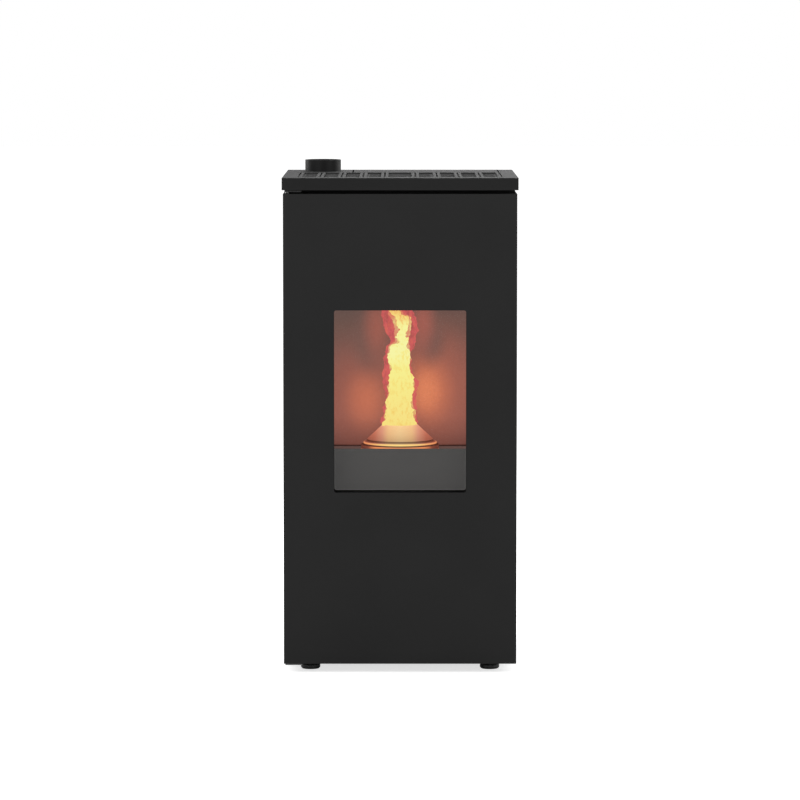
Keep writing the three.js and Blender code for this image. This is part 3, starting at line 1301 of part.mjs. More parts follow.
function makeRoomFanRotor() {
  const half = ROOM_FAN_HALF - ROOM_FAN_SHEET - 3;
  const discs = [-half, -DRUM_DISC / 2, half - DRUM_DISC].map((x) =>
    bar("x", DRUM_RADIUS, [x, x + DRUM_DISC], ROOM_FAN_AXIS, 20),
  );
  const shaft = bar("x", SHAFT_RADIUS, [-ROOM_FAN_HALF - 3, ROOM_FAN_HALF + 14], ROOM_FAN_AXIS, 12);
  const blades = [];
  for (let step = 0; step < DRUM_BLADES; step++) {
    const geometry = new THREE.BoxGeometry(2 * half - 1, ...DRUM_BLADE);
    geometry.rotateX(THREE.MathUtils.degToRad(DRUM_BLADE_LEAN));
    geometry.translate(0, DRUM_RADIUS - DRUM_BLADE_IN, 0);
    geometry.rotateX((step / DRUM_BLADES) * 2 * Math.PI);
    geometry.translate(0, ROOM_FAN_Y, ROOM_FAN_Z);
    blades.push(solid(geometry));
  }
  return union([...discs, shaft, ...blades]);
}

function makeRoomFanMotor() {
  const from = ROOM_FAN_HALF + SEAT;
  const can = bar("x", ROOM_MOTOR_RADIUS, [from, from + ROOM_MOTOR_LENGTH], ROOM_FAN_AXIS, 28);
  return can.subtract(bar("x", SHAFT_RADIUS + RUNNING, [from - PAST, from + 16], ROOM_FAN_AXIS, 16));
}

// ---------------------------------------------------------------- controls at the back

const MODULE_SPAN = [MODULE_X - MODULE_WIDTH / 2, MODULE_X + MODULE_WIDTH / 2];
const MODULE_Z = [MODULE_BOTTOM, MODULE_BOTTOM + MODULE_HEIGHT];
const MODULE_FACE = CASE_DEPTH + SEAT + MODULE_FLANGE;
const ROCKER_AXIS = { y: CASE_DEPTH - 4, z: ROCKER_Z };
const BUTTON_AXIS = { x: MODULE_X, z: BUTTON_Z };

function makeSocketModule() {
  const body = block(MODULE_SPAN, [CASE_DEPTH - MODULE_DEPTH, MODULE_FACE], MODULE_Z);
  const flangeY = [CASE_DEPTH + SEAT, MODULE_FACE];
  const flange = block(grow(MODULE_SPAN, MODULE_LIP), flangeY, grow(MODULE_Z, MODULE_LIP));
  const out = MODULE_FACE + PAST;
  const middle = [MODULE_X, MODULE_X];
  const socket = block(
    grow(middle, SOCKET_HALF[0]),
    [CASE_DEPTH - SOCKET_DEPTH, out],
    grow([SOCKET_Z, SOCKET_Z], SOCKET_HALF[1]),
  );
  const rockerHole = block(
    grow(middle, ROCKER_WIDTH / 2 + SEAT),
    [CASE_DEPTH - ROCKER_DEPTH, out],
    grow([ROCKER_Z, ROCKER_Z], ROCKER_HALF),
  );
  const trunnionX = grow(middle, ROCKER_WIDTH / 2 + TRUNNION + 0.5);
  const trunnions = bar("x", TRUNNION_RADIUS + RUNNING, trunnionX, ROCKER_AXIS, 12);
  const buttonHole = bar("y", BUTTON_RADIUS + RUNNING, [CASE_DEPTH - BUTTON_DEPTH - 5, out], BUTTON_AXIS, 20);
  const pins = SOCKET_PINS.map(([across, up]) => {
    const x = MODULE_X + across;
    const z = SOCKET_Z + up;
    return block(grow([x, x], 1), [CASE_DEPTH - SOCKET_DEPTH - PAST, CASE_DEPTH - 2], grow([z, z], 2));
  });
  return union([cutAll(body.add(flange), [socket, rockerHole, trunnions, buttonHole]), ...pins]);
}

// The rocker about its own axis, before it is tipped.
function makeRocker() {
  const across = both(ROCKER_WIDTH / 2);
  const reach = MODULE_FACE + 1.5 - ROCKER_AXIS.y;
  const body = prism([[-6, -6], [reach, -7.5], [reach - 1.5, 0], [reach, 7.5], [-6, 6]], across);
  return body.add(bar("x", TRUNNION_RADIUS, grow(across, TRUNNION), {}, 12));
}

const makeButton = () =>
  bar("y", BUTTON_RADIUS, [CASE_DEPTH - BUTTON_DEPTH, MODULE_FACE + 3], BUTTON_AXIS, 20);

function makeControlBox() {
  const [width, depth, height] = BOARD_BOX;
  const right = INNER_HALF;
  const end = CASE_DEPTH - BOARD_BOX_BACK_INSET;
  const y = [end - depth, end];
  const z = [BOARD_BOX_Z, BOARD_BOX_Z + height];
  const back = right - BOARD_BOX_BACK;
  const box = block([right - width, right], y, z);
  const tray = block([right - width - PAST, back], grow(y, -BOARD_BOX_WALL), grow(z, -BOARD_BOX_WALL));
  const board = block([back - BOARD, back + PAST], grow(y, -BOARD_MARGIN), grow(z, -BOARD_MARGIN));
  return box.subtract(tray).add(board);
}

// ---------------------------------------------------------------- assembly

const stove = new THREE.Group();
stove.position.y = -ORIGIN_Y;

function section(pieces) {
  const group = new THREE.Group();
  for (const [name, body, material] of pieces) group.add(mesh(name, body, material));
  stove.add(group);
  return group;
}

section([
  ["base_pan", makeBasePan(), FINISH.galvanised],
  ["left_side_panel", makeSidePanel(-1), FINISH.blackPaint],
  ["right_side_panel", makeSidePanel(1), FINISH.blackPaint],
  ["rear_panel", makeRearPanel(), FINISH.heatPaint],
  ["front_frame", makeFrontFrame(), FINISH.heatPaint],
  ["warm_air_deck", makeDeck(), FINISH.heatPaint],
  ["outlet_guard", makeOutletGuard(), FINISH.heatPaint],
  ["top_plate", makeTopPlate(), FINISH.blackPaint],
  ["hopper_lid", makeLid(), FINISH.blackPaint],
  ["lid_hinge_pin", makeLidPin(), FINISH.steel],
]);

const foot = makeFoot();
for (const [corner, [x, y]] of Object.entries(FEET)) {
  const piece = mesh("foot_" + corner, foot, FINISH.blackPlastic);
  piece.position.set(x, y, 0);
  stove.add(piece);
}

section([
  ["door_skin", makeDoorSkin(), FINISH.blackPaint],
  ["door_inner_frame", makeDoorInnerFrame(), FINISH.heatPaint],
  ["door_glass", makeGlass(), FINISH.glass],
  ["glass_gasket", makeGlassGasket(), FINISH.rope],
  ["glass_retainer_left", makeRetainer(-1), FINISH.heatPaint],
  ["glass_retainer_right", makeRetainer(1), FINISH.heatPaint],
  ["door_gasket", makeDoorGasket(), FINISH.rope],
  ["upper_hinge", makeUpperHinge(), FINISH.galvanised],
  ["lower_hinge", makeLowerHinge(), FINISH.galvanised],
  ["catch_body", makeCatchBody(), FINISH.galvanised],
  ["catch_tongue", makeTongue(), FINISH.steel],
]);

const roller = makeRoller();
for (const [place, side] of [["upper", 1], ["lower", -1]]) {
  const piece = mesh("catch_roller_" + place, roller, FINISH.steel);
  piece.position.set(CATCH_X, ROLLER_Y, rollerZ(side));
  stove.add(piece);
}

section([
  ["firebox_shell", makeFireboxShell(), FINISH.heatPaint],
  ["back_liner", makeBackLiner(), FINISH.fireboard],
  ["left_liner", makeSideLiner(-1), FINISH.fireboard],
  ["right_liner", makeSideLiner(1), FINISH.fireboard],
  ["baffle", makeBaffle(), FINISH.fireboard],
  ["hearth_plate", makeHearthPlate(), FINISH.castIron],
  ["burn_pot", makeBurnPot(), FINISH.castIron],
  ["flame_bell", makeFlameBell(), FINISH.castIron],
  ["igniter", makeIgniter(), FINISH.steel],
  ["ash_drawer", makeAshDrawer(), FINISH.greyPaint],
]);

section([
  ["smoke_box", makeSmokeBox(), FINISH.heatPaint],
  ["smoke_duct", makeSmokeDuct(), FINISH.heatPaint],
  ["smoke_fan_housing", makeSmokeFanHousing(), FINISH.galvanised],
  ["smoke_fan_rotor", makeSmokeFanRotor(), FINISH.steel],
  ["smoke_fan_motor", makeSmokeFanMotor(), FINISH.aluminium],
  ["flue_pipe", makeFluePipe(), FINISH.galvanised],
  ["flue_collar", makeFlueCollar(), FINISH.blackPaint],
  ["air_intake_pipe", makeAirIntake(), FINISH.galvanised],
]);

section([
  ["pellet_hopper", makeHopper(), FINISH.galvanised],
  ["hopper_funnel", makeHopperFunnel(), FINISH.galvanised],
  ["hopper_throat", makeHopperThroat(), FINISH.galvanised],
  ["lid_seal", makeLidSeal(), FINISH.silicone],
  ["pellet_chute", makeChute(), FINISH.heatPaint],
]);

const auger = section([
  ["auger_tube", makeAugerTube(), FINISH.galvanised],
  ["auger_screw", makeAugerScrew(), FINISH.steel],
  ["auger_gearmotor", makeGearmotor(), FINISH.aluminium],
]);
auger.position.set(0, AUGER_Y, AUGER_Z);
auger.rotation.x = AUGER_TILT;

section([
  ["room_fan_housing", makeRoomFanHousing(), FINISH.galvanised],
  ["room_fan_rotor", makeRoomFanRotor(), FINISH.aluminium],
  ["room_fan_motor", makeRoomFanMotor(), FINISH.aluminium],
  ["control_box", makeControlBox(), FINISH.blackPlastic],
  ["socket_module", makeSocketModule(), FINISH.blackPlastic],
  ["standby_button", makeButton(), FINISH.blackPlastic],
]);

const rocker = mesh("power_rocker", makeRocker(), FINISH.blackPlastic);
rocker.position.set(MODULE_X, ROCKER_AXIS.y, ROCKER_AXIS.z);
rocker.rotation.x = THREE.MathUtils.degToRad(ROCKER_TIP);
stove.add(rocker);

export default stove;
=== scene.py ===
import json
import math

import bmesh
import bpy
from mathutils import Matrix, Vector, noise
from mathutils.bvhtree import BVHTree


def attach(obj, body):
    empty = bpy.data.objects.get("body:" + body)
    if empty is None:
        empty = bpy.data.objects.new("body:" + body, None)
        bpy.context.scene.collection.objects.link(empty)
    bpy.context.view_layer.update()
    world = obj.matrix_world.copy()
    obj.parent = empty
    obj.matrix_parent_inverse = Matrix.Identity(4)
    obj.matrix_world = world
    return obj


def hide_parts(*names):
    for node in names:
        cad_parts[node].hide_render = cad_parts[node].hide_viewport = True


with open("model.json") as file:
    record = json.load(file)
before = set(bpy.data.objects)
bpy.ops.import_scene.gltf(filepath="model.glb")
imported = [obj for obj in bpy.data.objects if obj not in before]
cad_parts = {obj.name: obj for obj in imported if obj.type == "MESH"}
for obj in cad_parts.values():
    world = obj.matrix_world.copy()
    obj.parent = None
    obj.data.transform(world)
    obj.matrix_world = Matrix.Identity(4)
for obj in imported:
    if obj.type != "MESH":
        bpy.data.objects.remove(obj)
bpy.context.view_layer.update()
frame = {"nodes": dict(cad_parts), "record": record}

NODES = frame["nodes"]
RECORD = frame["record"]
BODY_OF = {n: body for body, nodes in RECORD["behaviour"]["bodies"].items() for n in nodes}
SLOT_OF = {part["node"]: part["material_slot"] for part in RECORD["subparts"]}

MM = 0.001
DOOR_FACE = 278.75  # the door's face in front of the middle of the stove

# The part's own sizes in mm, with Y measured back from the door's face.
FLUE = (-172, 446.5)
FLUE_RADIUS = 40
COLLAR_BORE = 36
COLLAR_SPIGOT = 38.2
SPIGOT_FOOT = 1028.5
COLLAR_SEAT = 1058.5
COLLAR_TOP = 1090.5
HINGE_PIN = (-241, 18)
HINGE_GAP = (1030.9, 1034.1)  # between the door's top and the top plate
POT_Y = 140
HEARTH = 468.8
BELL_RADIUS = 84.4
BELL_HEIGHT = 56
BELL_FRONT = (-45, -72)  # from the bell's middle, where its skirt turns to face the door
WINDOW_HALF = 141.5
WINDOW_Z = (390.4, 781.8)
REVEAL = 24
VENTS_HALF = 225
VENTS_Y = (50, 350)
DRAWER_HALF = 141.9  # the drawer's front as the window shows it
DRAWER_FOOT = 390.4
DRAWER_CORNER = 5
DRAWER_SHADOW_BAND = (4.4, -5.6)  # the band of its painted shadow and painted highlight, outside and inside of that outline
REAR_FACE = 535.05
MODULE_X = 200
ROCKER_Z = 101
FEET = {
    "foot_front_left": (-194, 73),
    "foot_front_right": (194, 73),
    "foot_rear_left": (-194, 480),
    "foot_rear_right": (194, 480),
}
EDGE_RADIUS = {
    "top_plate": 1.0,
    "hopper_lid": 1.0,
    "door_skin": 0.8,
    "left_side_panel": 0.5,
    "right_side_panel": 0.5,
    "ash_drawer": 0.6,
    "socket_module": 0.5,
    "power_rocker": 0.5,
    "standby_button": 0.6,
}


def at(x, y, z):
    """A point of the stove in mm, with Y from the door's face, as a place in the frame."""
    return Vector((x, y - DOOR_FACE, z)) * MM


# ---------------------------------------------------------------- colours and nodes


def paint(code):
    """An sRGB hex value as linear RGBA."""
    channels = [int(code[i : i + 2], 16) / 255 for i in (1, 3, 5)]
    linear = [c / 12.92 if c <= 0.04045 else ((c + 0.055) / 1.055) ** 2.4 for c in channels]
    return (*linear, 1.0)


def add(tree, kind, settings=None, stops=()):
    """Adds a node. Its settings are its own properties, or inputs, each given as a value, as a
    hex colour, or as the socket or the node that is linked there, a node by its first output.
    The stops are for a colour ramp: places along it, each with a hex colour or a grey."""
    node = tree.nodes.new("ShaderNode" + kind)
    for name, value in (settings or {}).items():
        if isinstance(value, bpy.types.Node):
            value = value.outputs[0]
        if isinstance(value, bpy.types.NodeSocket):
            tree.links.new(value, node.inputs[name])
        elif isinstance(name, str) and hasattr(node, name):
            setattr(node, name, value)
        else:
            node.inputs[name].default_value = paint(value) if isinstance(value, str) else value
    for index, (place, value) in enumerate(stops):
        bar = node.color_ramp.elements
        ends = {0: bar[0], len(stops) - 1: bar[-1]}
        stop = ends[index] if index in ends else bar.new(place)
        stop.position = place
        stop.color = paint(value) if isinstance(value, str) else (value, value, value, 1)
    return node


def new_material(name):
    material = bpy.data.materials.new(name)
    material.use_nodes = True
    tree = material.node_tree
    tree.nodes.clear()
    where = add(tree, "TexCoord").outputs["Object"]
    return material, tree, where


def grain(tree, where, size_mm, detail=3, stretch=(1, 1, 1), roughness=0.55):
    """An uneven pattern whose features are about size_mm across."""
    return add(
        tree,
        "TexNoise",
        {
            "Vector": add(tree, "Mapping", {"Scale": stretch, "Vector": where}),
            "Scale": 1 / (size_mm * MM),
            "Detail": detail,
            "Roughness": roughness,
        },
    )


def show(tree, look):
    """Closes a material with the surface of its look."""
    add(tree, "OutputMaterial", {"Surface": add(tree, "BsdfPrincipled", look)})


def show_lit(tree, look, light):
    """Closes a material with the surface of its look and the fire's light painted on it."""
    surface = add(tree, "BsdfPrincipled", look)
    both = add(tree, "AddShader", {0: surface, 1: add(tree, "Emission", light)})
    add(tree, "OutputMaterial", {"Surface": both})


# ---------------------------------------------------------------- finishes


def black_powder_coat(name, dark, pale, dull, sheen):
    """Oven-cured black powder on steel: a faint orange peel and a soft satin sheen.
    Its real texture is about 0.4 mm across, drawn at 1.6 mm so that it shows."""
    material, tree, where = new_material(name)
    peel = grain(tree, where, 1.6, detail=2)
    cloud = grain(tree, where, 160, detail=1)
    look = {
        "Base Color": add(tree, "ValToRGB", {"Fac": cloud}, [(0.3, dark), (0.7, pale)]),
        "Roughness": add(tree, "ValToRGB", {"Fac": peel}, [(0.3, dull), (0.7, dull + 0.1)]),
        "Normal": add(tree, "Bump", {"Height": peel, "Distance": 0.06 * MM}),
        "Specular IOR Level": sheen,
    }
    show(tree, look)
    return material


def flue_enamel():
    """Black enamel on the flue collar: smoother than the powder, so that its sides catch a thin
    line of light."""
    material, tree, where = new_material("black_flue_enamel")
    skin = grain(tree, where, 2.5, detail=3)
    look = {
        "Base Color": add(tree, "ValToRGB", {"Fac": skin}, [(0.3, "#0a0a0a"), (0.7, "#101010")]),
        "Roughness": add(tree, "ValToRGB", {"Fac": skin}, [(0.3, 0.36), (0.7, 0.46)]),
        "Normal": add(tree, "Bump", {"Height": skin, "Distance": 0.03 * MM}),
        "Specular IOR Level": 0.18,
    }
    show(tree, look)
    return material


def reveal_painted_shade():
    """The powder inside the window's reveal, near black: the shade in the deep reveal, painted
    into its colour.
    """
    material, tree, where = new_material("powder_coat_painted_shade")
    speckle = grain(tree, where, 2.5, detail=4)
    look = {
        "Base Color": add(tree, "ValToRGB", {"Fac": speckle}, [(0.3, "#050505"), (0.7, "#0b0b0b")]),
        "Roughness": 0.9,
        "Normal": add(tree, "Bump", {"Height": speckle, "Distance": 0.08 * MM}),
        "Specular IOR Level": 0.08,
    }
    show(tree, look)
    return material


def dull_zinc(name, dark, pale):
    """Zinc-plated hinge steel gone dull, in the greys given: darker than the casing's sheet, and
    on the upper hinge darker still with painted shade.
    """
    material, tree, where = new_material(name)
    cloud = grain(tree, where, 5, detail=4)
    look = {
        "Base Color": add(tree, "ValToRGB", {"Fac": cloud}, [(0.3, dark), (0.7, pale)]),
        "Roughness": add(tree, "ValToRGB", {"Fac": cloud}, [(0.3, 0.48), (0.7, 0.62)]),
        "Normal": add(tree, "Bump", {"Height": cloud, "Distance": 0.03 * MM}),
        "Metallic": 0.7,
    }
    show(tree, look)
    return material


def guard_grey():
    """Grey stove paint on the guard under the air openings and on the openings' edges: matt,
    dusty and paler than the plate."""
    material, tree, where = new_material("dusty_grey_paint")
    dust = grain(tree, where, 2, detail=4)
    look = {
        "Base Color": add(tree, "ValToRGB", {"Fac": dust}, [(0.3, "#3c3c3c"), (0.7, "#464646")]),
        "Roughness": 0.9,
        "Normal": add(tree, "Bump", {"Height": dust, "Distance": 0.05 * MM}),
        "Specular IOR Level": 0.1,
    }
    show(tree, look)
    return material


def foot_nylon():
    """Moulded nylon of the levelling feet: dark grey with a fine grain and scuffed rims."""
    material, tree, where = new_material("moulded_nylon")
    scuff = grain(tree, where, 1.6, detail=4)
    look = {
        "Base Color": add(tree, "ValToRGB", {"Fac": scuff}, [(0.3, "#2e2e2e"), (0.7, "#3b3b3b")]),
        "Roughness": add(tree, "ValToRGB", {"Fac": scuff}, [(0.3, 0.42), (0.7, 0.6)]),
        "Normal": add(tree, "Bump", {"Height": scuff, "Distance": 0.05 * MM}),
        "Specular IOR Level": 0.45,
    }
    show(tree, look)
    return material


def heat_paint():
    """Matt stove paint sprayed on mild steel: a dry, slightly sandy black."""
    material, tree, where = new_material("matt_stove_paint")
    sand = grain(tree, where, 1.2, detail=4)
    cloud = grain(tree, where, 60, detail=3)
    look = {
        "Base Color": add(tree, "ValToRGB", {"Fac": cloud}, [(0.3, "#161616"), (0.7, "#202020")]),
        "Roughness": add(tree, "ValToRGB", {"Fac": sand}, [(0.3, 0.78), (0.7, 0.9)]),
        "Normal": add(tree, "Bump", {"Height": sand, "Distance": 0.12 * MM}),
        "Specular IOR Level": 0.2,
    }
    show(tree, look)
    return material


def grey_heat_paint():
    """Grey stove paint on the drawer's front: matt, with a pale painted highlight line inside a
    black painted shadow at its foot that turns round the lower corners, and with light painted on
    it as an even grey glow, as from the fire above it."""
    material, tree, where = new_material("grey_stove_paint")
    sand = grain(tree, where, 1.4, detail=3)
    cloud = grain(tree, where, 90, detail=2)
    plain = add(tree, "ValToRGB", {"Fac": cloud}, [(0.3, "#2d2d2d"), (0.7, "#313131")])

    parts = add(tree, "SeparateXYZ", {0: where}).outputs
    aside = add(tree, "Math", {"operation": "ABSOLUTE", 0: parts["X"]})
    past = []
    for first, second in (
        (aside, (DRAWER_HALF - DRAWER_CORNER) * MM),
        ((DRAWER_FOOT + DRAWER_CORNER) * MM, parts["Z"]),
    ):
        over = add(tree, "Math", {"operation": "SUBTRACT", 0: first, 1: second})
        past.append(add(tree, "Math", {"operation": "MAXIMUM", 0: over, 1: 0.0}))
    corner = add(tree, "CombineXYZ", {0: past[0], 1: past[1]})
    length = add(tree, "VectorMath", {"operation": "LENGTH", 0: corner}).outputs["Value"]
    outer, inner = ((DRAWER_CORNER + past_line) * MM for past_line in DRAWER_SHADOW_BAND)
    rise = add(tree, "MapRange", {"From Min": outer, "From Max": inner, "Value": length})
    # Painted shadow under the drawer's foot, then a painted highlight line above it, then the
    # plain paint.
    edge = add(
        tree,
        "ValToRGB",
        {"Fac": rise},
        [(0.0, "#020202"), (0.44, "#020202"), (0.5, "#4a4a4a"), (0.74, "#2f2f2f")],
    )
    # Painted light: an even grey glow over the drawer, none in the painted shadow.
    glow = add(
        tree,
        "ValToRGB",
        {"Fac": rise},
        [(0.44, "#000000"), (0.5, "#464646"), (0.74, "#424242")],
    )
    low = add(tree, "ValToRGB", {"Fac": rise}, [(0.72, 1.0), (0.78, 0.0)])
    colour = add(tree, "Mix", {"data_type": "RGBA", 0: low, 6: plain, 7: edge}).outputs[2]
    look = {
        "Base Color": colour,
        "Roughness": add(tree, "ValToRGB", {"Fac": sand}, [(0.3, 0.62), (0.7, 0.75)]),
        "Normal": add(tree, "Bump", {"Height": sand, "Distance": 0.08 * MM}),
        "Specular IOR Level": 0.2,
    }
    show_lit(tree, look, {"Color": glow, "Strength": 1.0})
    return material


def galvanised_steel():
    """Hot-dip zinc on sheet steel: dull silver with a spangle of flat crystals, about 8 mm
    across."""
    material, tree, where = new_material("galvanised_steel")
    crystals = {"Vector": where, "Scale": 1 / (8 * MM), "Randomness": 1.0}
    spangle = add(tree, "TexVoronoi", crystals).outputs["Color"]
    grey = add(tree, "RGBToBW", {"Color": spangle})
    fine = grain(tree, where, 1.0, detail=3)
    look = {
        "Base Color": add(tree, "ValToRGB", {"Fac": grey}, [(0.2, "#84888b"), (0.8, "#a9adb0")]),
        "Roughness": add(tree, "ValToRGB", {"Fac": grey}, [(0.2, 0.38), (0.8, 0.52)]),
        "Normal": add(tree, "Bump", {"Height": fine, "Distance": 0.03 * MM}),
        "Metallic": 0.95,
    }
    show(tree, look)
    return material


def bright_steel():
    """Turned and ground steel: bright, with fine tool marks. They are about 0.2 mm apart, and
    drawn at 0.8 mm so that they show."""
    material, tree, where = new_material("turned_steel")
    marks = grain(tree, where, 0.8, detail=2, stretch=(1, 1, 0.15))
    look = {
        "Base Color": add(tree, "ValToRGB", {"Fac": marks}, [(0.3, "#a9a9a8"), (0.7, "#c4c4c2")]),
        "Roughness": add(tree, "ValToRGB", {"Fac": marks}, [(0.3, 0.24), (0.7, 0.36)]),
        "Normal": add(tree, "Bump", {"Height": marks, "Distance": 0.02 * MM}),
        "Metallic": 1.0,
    }
    show(tree, look)
    return material


def cast_aluminium():
    """Die-cast aluminium: pale, with the faint skin that the die leaves."""
    material, tree, where = new_material("die_cast_aluminium")
    skin = grain(tree, where, 1.5, detail=4)
    look = {
        "Base Color": add(tree, "ValToRGB", {"Fac": skin}, [(0.3, "#9da0a2"), (0.7, "#b4b7b9")]),
        "Roughness": add(tree, "ValToRGB", {"Fac": skin}, [(0.3, 0.42), (0.7, 0.58)]),
        "Normal": add(tree, "Bump", {"Height": skin, "Distance": 0.08 * MM}),
        "Metallic": 0.9,
    }
    show(tree, look)
    return material


def silicone():
    """Moulded silicone rubber: dark, dry and a little dusty."""
    material, tree, where = new_material("silicone_rubber")
    dust = grain(tree, where, 2, detail=4)
    look = {
        "Base Color": add(tree, "ValToRGB", {"Fac": dust}, [(0.35, "#232326"), (0.7, "#2e2e31")]),
        "Roughness": 0.78,
        "Normal": add(tree, "Bump", {"Height": dust, "Distance": 0.04 * MM}),
        "Specular IOR Level": 0.35,
    }
    show(tree, look)
    return material


def black_plastic():
    """Moulded ABS: near black with an eroded grain about 0.3 mm across, drawn at 0.9 mm."""
    material, tree, where = new_material("moulded_abs")
    spark = grain(tree, where, 0.9, detail=3)
    look = {
        "Base Color": add(tree, "ValToRGB", {"Fac": spark}, [(0.3, "#171717"), (0.7, "#202020")]),
        "Roughness": add(tree, "ValToRGB", {"Fac": spark}, [(0.3, 0.48), (0.7, 0.62)]),
        "Normal": add(tree, "Bump", {"Height": spark, "Distance": 0.05 * MM}),
        "Specular IOR Level": 0.4,
    }
    show(tree, look)
    return material


def glass_rope():
    """Knitted glass-fibre rope: dark, matt, with the slant of its braid every 6 mm or so."""
    material, tree, where = new_material("knitted_glass_rope")
    slanted = add(tree, "Mapping", {"Rotation": (0.5, 0.78, 0.6), "Vector": where})
    # At a scale of 1 the waves are pi / 10 m apart.
    scale = math.pi / 10 / (5.92 * MM)
    waves = {"Vector": slanted, "Scale": scale, "Distortion": 1.2, "Detail": 2}
    braid = add(tree, "TexWave", waves).outputs["Fac"]
    look = {
        "Base Color": add(tree, "ValToRGB", {"Fac": braid}, [(0.2, "#24221f"), (0.8, "#4b4742")]),
        "Roughness": 0.95,
        "Normal": add(tree, "Bump", {"Height": braid, "Distance": 0.8 * MM}),
        "Specular IOR Level": 0.2,
    }
    show(tree, look)
    return material


def ceramic_glass():
    """Clear glass ceramic: all but invisible, with a faint surface reflection."""
    material, tree, where = new_material("clear_glass_ceramic")
    haze = grain(tree, where, 90, detail=2)
    look = {
        "Base Color": "#0f0d0c",
        "Roughness": add(tree, "ValToRGB", {"Fac": haze}, [(0.3, 0.04), (0.7, 0.1)]),
        "Specular IOR Level": 0.35,
        "IOR": 1.53,
    }
    shine = add(tree, "BsdfPrincipled", look)
    clear = add(tree, "BsdfTransparent", {"Color": "#fcfbfa"})
    pane = add(tree, "MixShader", {"Fac": 0.03, 1: clear, 2: shine})
    add(tree, "OutputMaterial", {"Surface": pane})
    return material


def print_ink():
    """White pad-printing ink, a little worn."""
    material, tree, where = new_material("white_pad_print")
    wear = grain(tree, where, 1.5, detail=3)
    look = {
        "Base Color": add(tree, "ValToRGB", {"Fac": wear}, [(0.3, "#c8c8c4"), (0.7, "#deded9")]),
        "Roughness": 0.6,
        "Normal": add(tree, "Bump", {"Height": wear, "Distance": 0.01 * MM}),
        "Specular IOR Level": 0.4,
    }
    show(tree, look)
    return material


def nearness(tree, where, centre, reach, squash):
    """1 at a place, falling smoothly to 0 at its reach, both in mm."""
    away = add(tree, "VectorMath", {"operation": "SUBTRACT", 0: where, 1: at(*centre)})
    scaled = add(tree, "VectorMath", {"operation": "MULTIPLY", 0: away, 1: squash})
    length = add(tree, "VectorMath", {"operation": "LENGTH", 0: scaled}).outputs["Value"]
    return add(
        tree,
        "MapRange",
        {
            "interpolation_type": "SMOOTHSTEP",
            "From Min": 0.0,
            "From Max": reach * MM,
            "To Min": 1.0,
            "To Max": 0.0,
            "Value": length,
        },
    )


# The fire's light on the back wall: each glow's centre, its reach, how much of each direction
# counts, and its colour.
WALL_GLOWS = [
    ((-96, 256, 555), 190, (1.0, 0.2, 0.9), "#905b52"),
    ((92, 256, 580), 200, (1.0, 0.2, 0.85), "#965e54"),
    ((-78, 256, 568), 112, (1.0, 0.2, 0.72), "#a86657"),
    ((70, 256, 588), 126, (1.0, 0.2, 0.72), "#b26a58"),
    ((-74, 256, 568), 62, (1.0, 0.2, 0.72), "#ca765c"),
    ((62, 256, 588), 70, (1.0, 0.2, 0.72), "#d97f5e"),
    ((58, 256, 588), 42, (1.0, 0.2, 0.66), "#e58963"),
    ((-70, 256, 700), 60, (1.0, 0.2, 0.6), "#7b5c55"),
    ((70, 256, 700), 46, (1.0, 0.2, 0.6), "#7d5c55"),
    ((-50, 256, 728), 44, (1.0, 0.2, 0.42), "#a26357"),
    ((50, 256, 736), 40, (1.0, 0.2, 0.42), "#a76459"),
]


def vermiculite():
    """Pressed vermiculite board: flaky, matt and brown, lit by the fire. The light is strongest
    on the board to each side of the flame, and fades to the corners and the top."""
    material, tree, where = new_material("pressed_vermiculite_board")
    flakes = grain(tree, where, 3, detail=5, roughness=0.65)
    stain = grain(tree, where, 45, detail=3)
    look = {
        "Base Color": add(tree, "ValToRGB", {"Fac": stain}, [(0.3, "#2b2220"), (0.7, "#382c28")]),
        "Roughness": 0.95,
        "Normal": add(tree, "Bump", {"Height": flakes, "Distance": 0.5 * MM}),
        "Specular IOR Level": 0.1,
    }
    height = add(tree, "SeparateXYZ", {0: where}).outputs["Z"]
    rise = add(tree, "MapRange", {"From Min": 460 * MM, "From Max": 780 * MM, "Value": height})
    lit = add(
        tree,
        "ValToRGB",
        {"Fac": rise},
        [
            (0.0, "#000000"),
            (0.029, "#000000"),
            (0.033, "#7d4f49"),
            (0.3, "#865951"),
            (0.6, "#7f5d56"),
            (0.85, "#6e5750"),
            (1.0, "#665450"),
        ],
    )
    start = add(tree, "MapRange", {"From Min": 466 * MM, "From Max": 469.5 * MM, "Value": height})
    for place, reach, squash, hot in WALL_GLOWS:
        near = nearness(tree, where, place, reach, squash)
        near = add(tree, "Math", {"operation": "MULTIPLY", 0: near, 1: start})
        lit = add(tree, "Mix", {"data_type": "RGBA", 0: near, 6: lit, 7: hot}).outputs[2]
    uneven = {"From Min": 0.3, "From Max": 0.7, "To Min": 0.9, "To Max": 1.06, "Value": flakes}
    mottled = add(tree, "MapRange", uneven)
    fade = add(tree, "ValToRGB", {"Fac": rise}, [(0.03, 0.68), (0.12, 0.86), (0.22, 1.0)])
    share = add(tree, "Math", {"operation": "MULTIPLY", 0: mottled, 1: fade})
    show_lit(tree, look, {"Color": lit, "Strength": share})
    return material


def cast_iron():
    """Sand-cast iron beside the fire: a pitted brown-black skin with a dim red light on it."""
    material, tree, where = new_material("sand_cast_iron")
    pits = grain(tree, where, 2.2, detail=5, roughness=0.7)
    look = {
        "Base Color": add(tree, "ValToRGB", {"Fac": pits}, [(0.3, "#33221c"), (0.7, "#553a2f")]),
        "Roughness": add(tree, "ValToRGB", {"Fac": pits}, [(0.3, 0.55), (0.7, 0.78)]),
        "Normal": add(tree, "Bump", {"Height": pits, "Distance": 0.35 * MM}),
        "Metallic": 0.3,
    }
    glow = add(tree, "ValToRGB", {"Fac": pits}, [(0.3, "#46403f"), (0.7, "#63504c")])
    show_lit(tree, look, {"Color": glow, "Strength": 0.85})
    return material


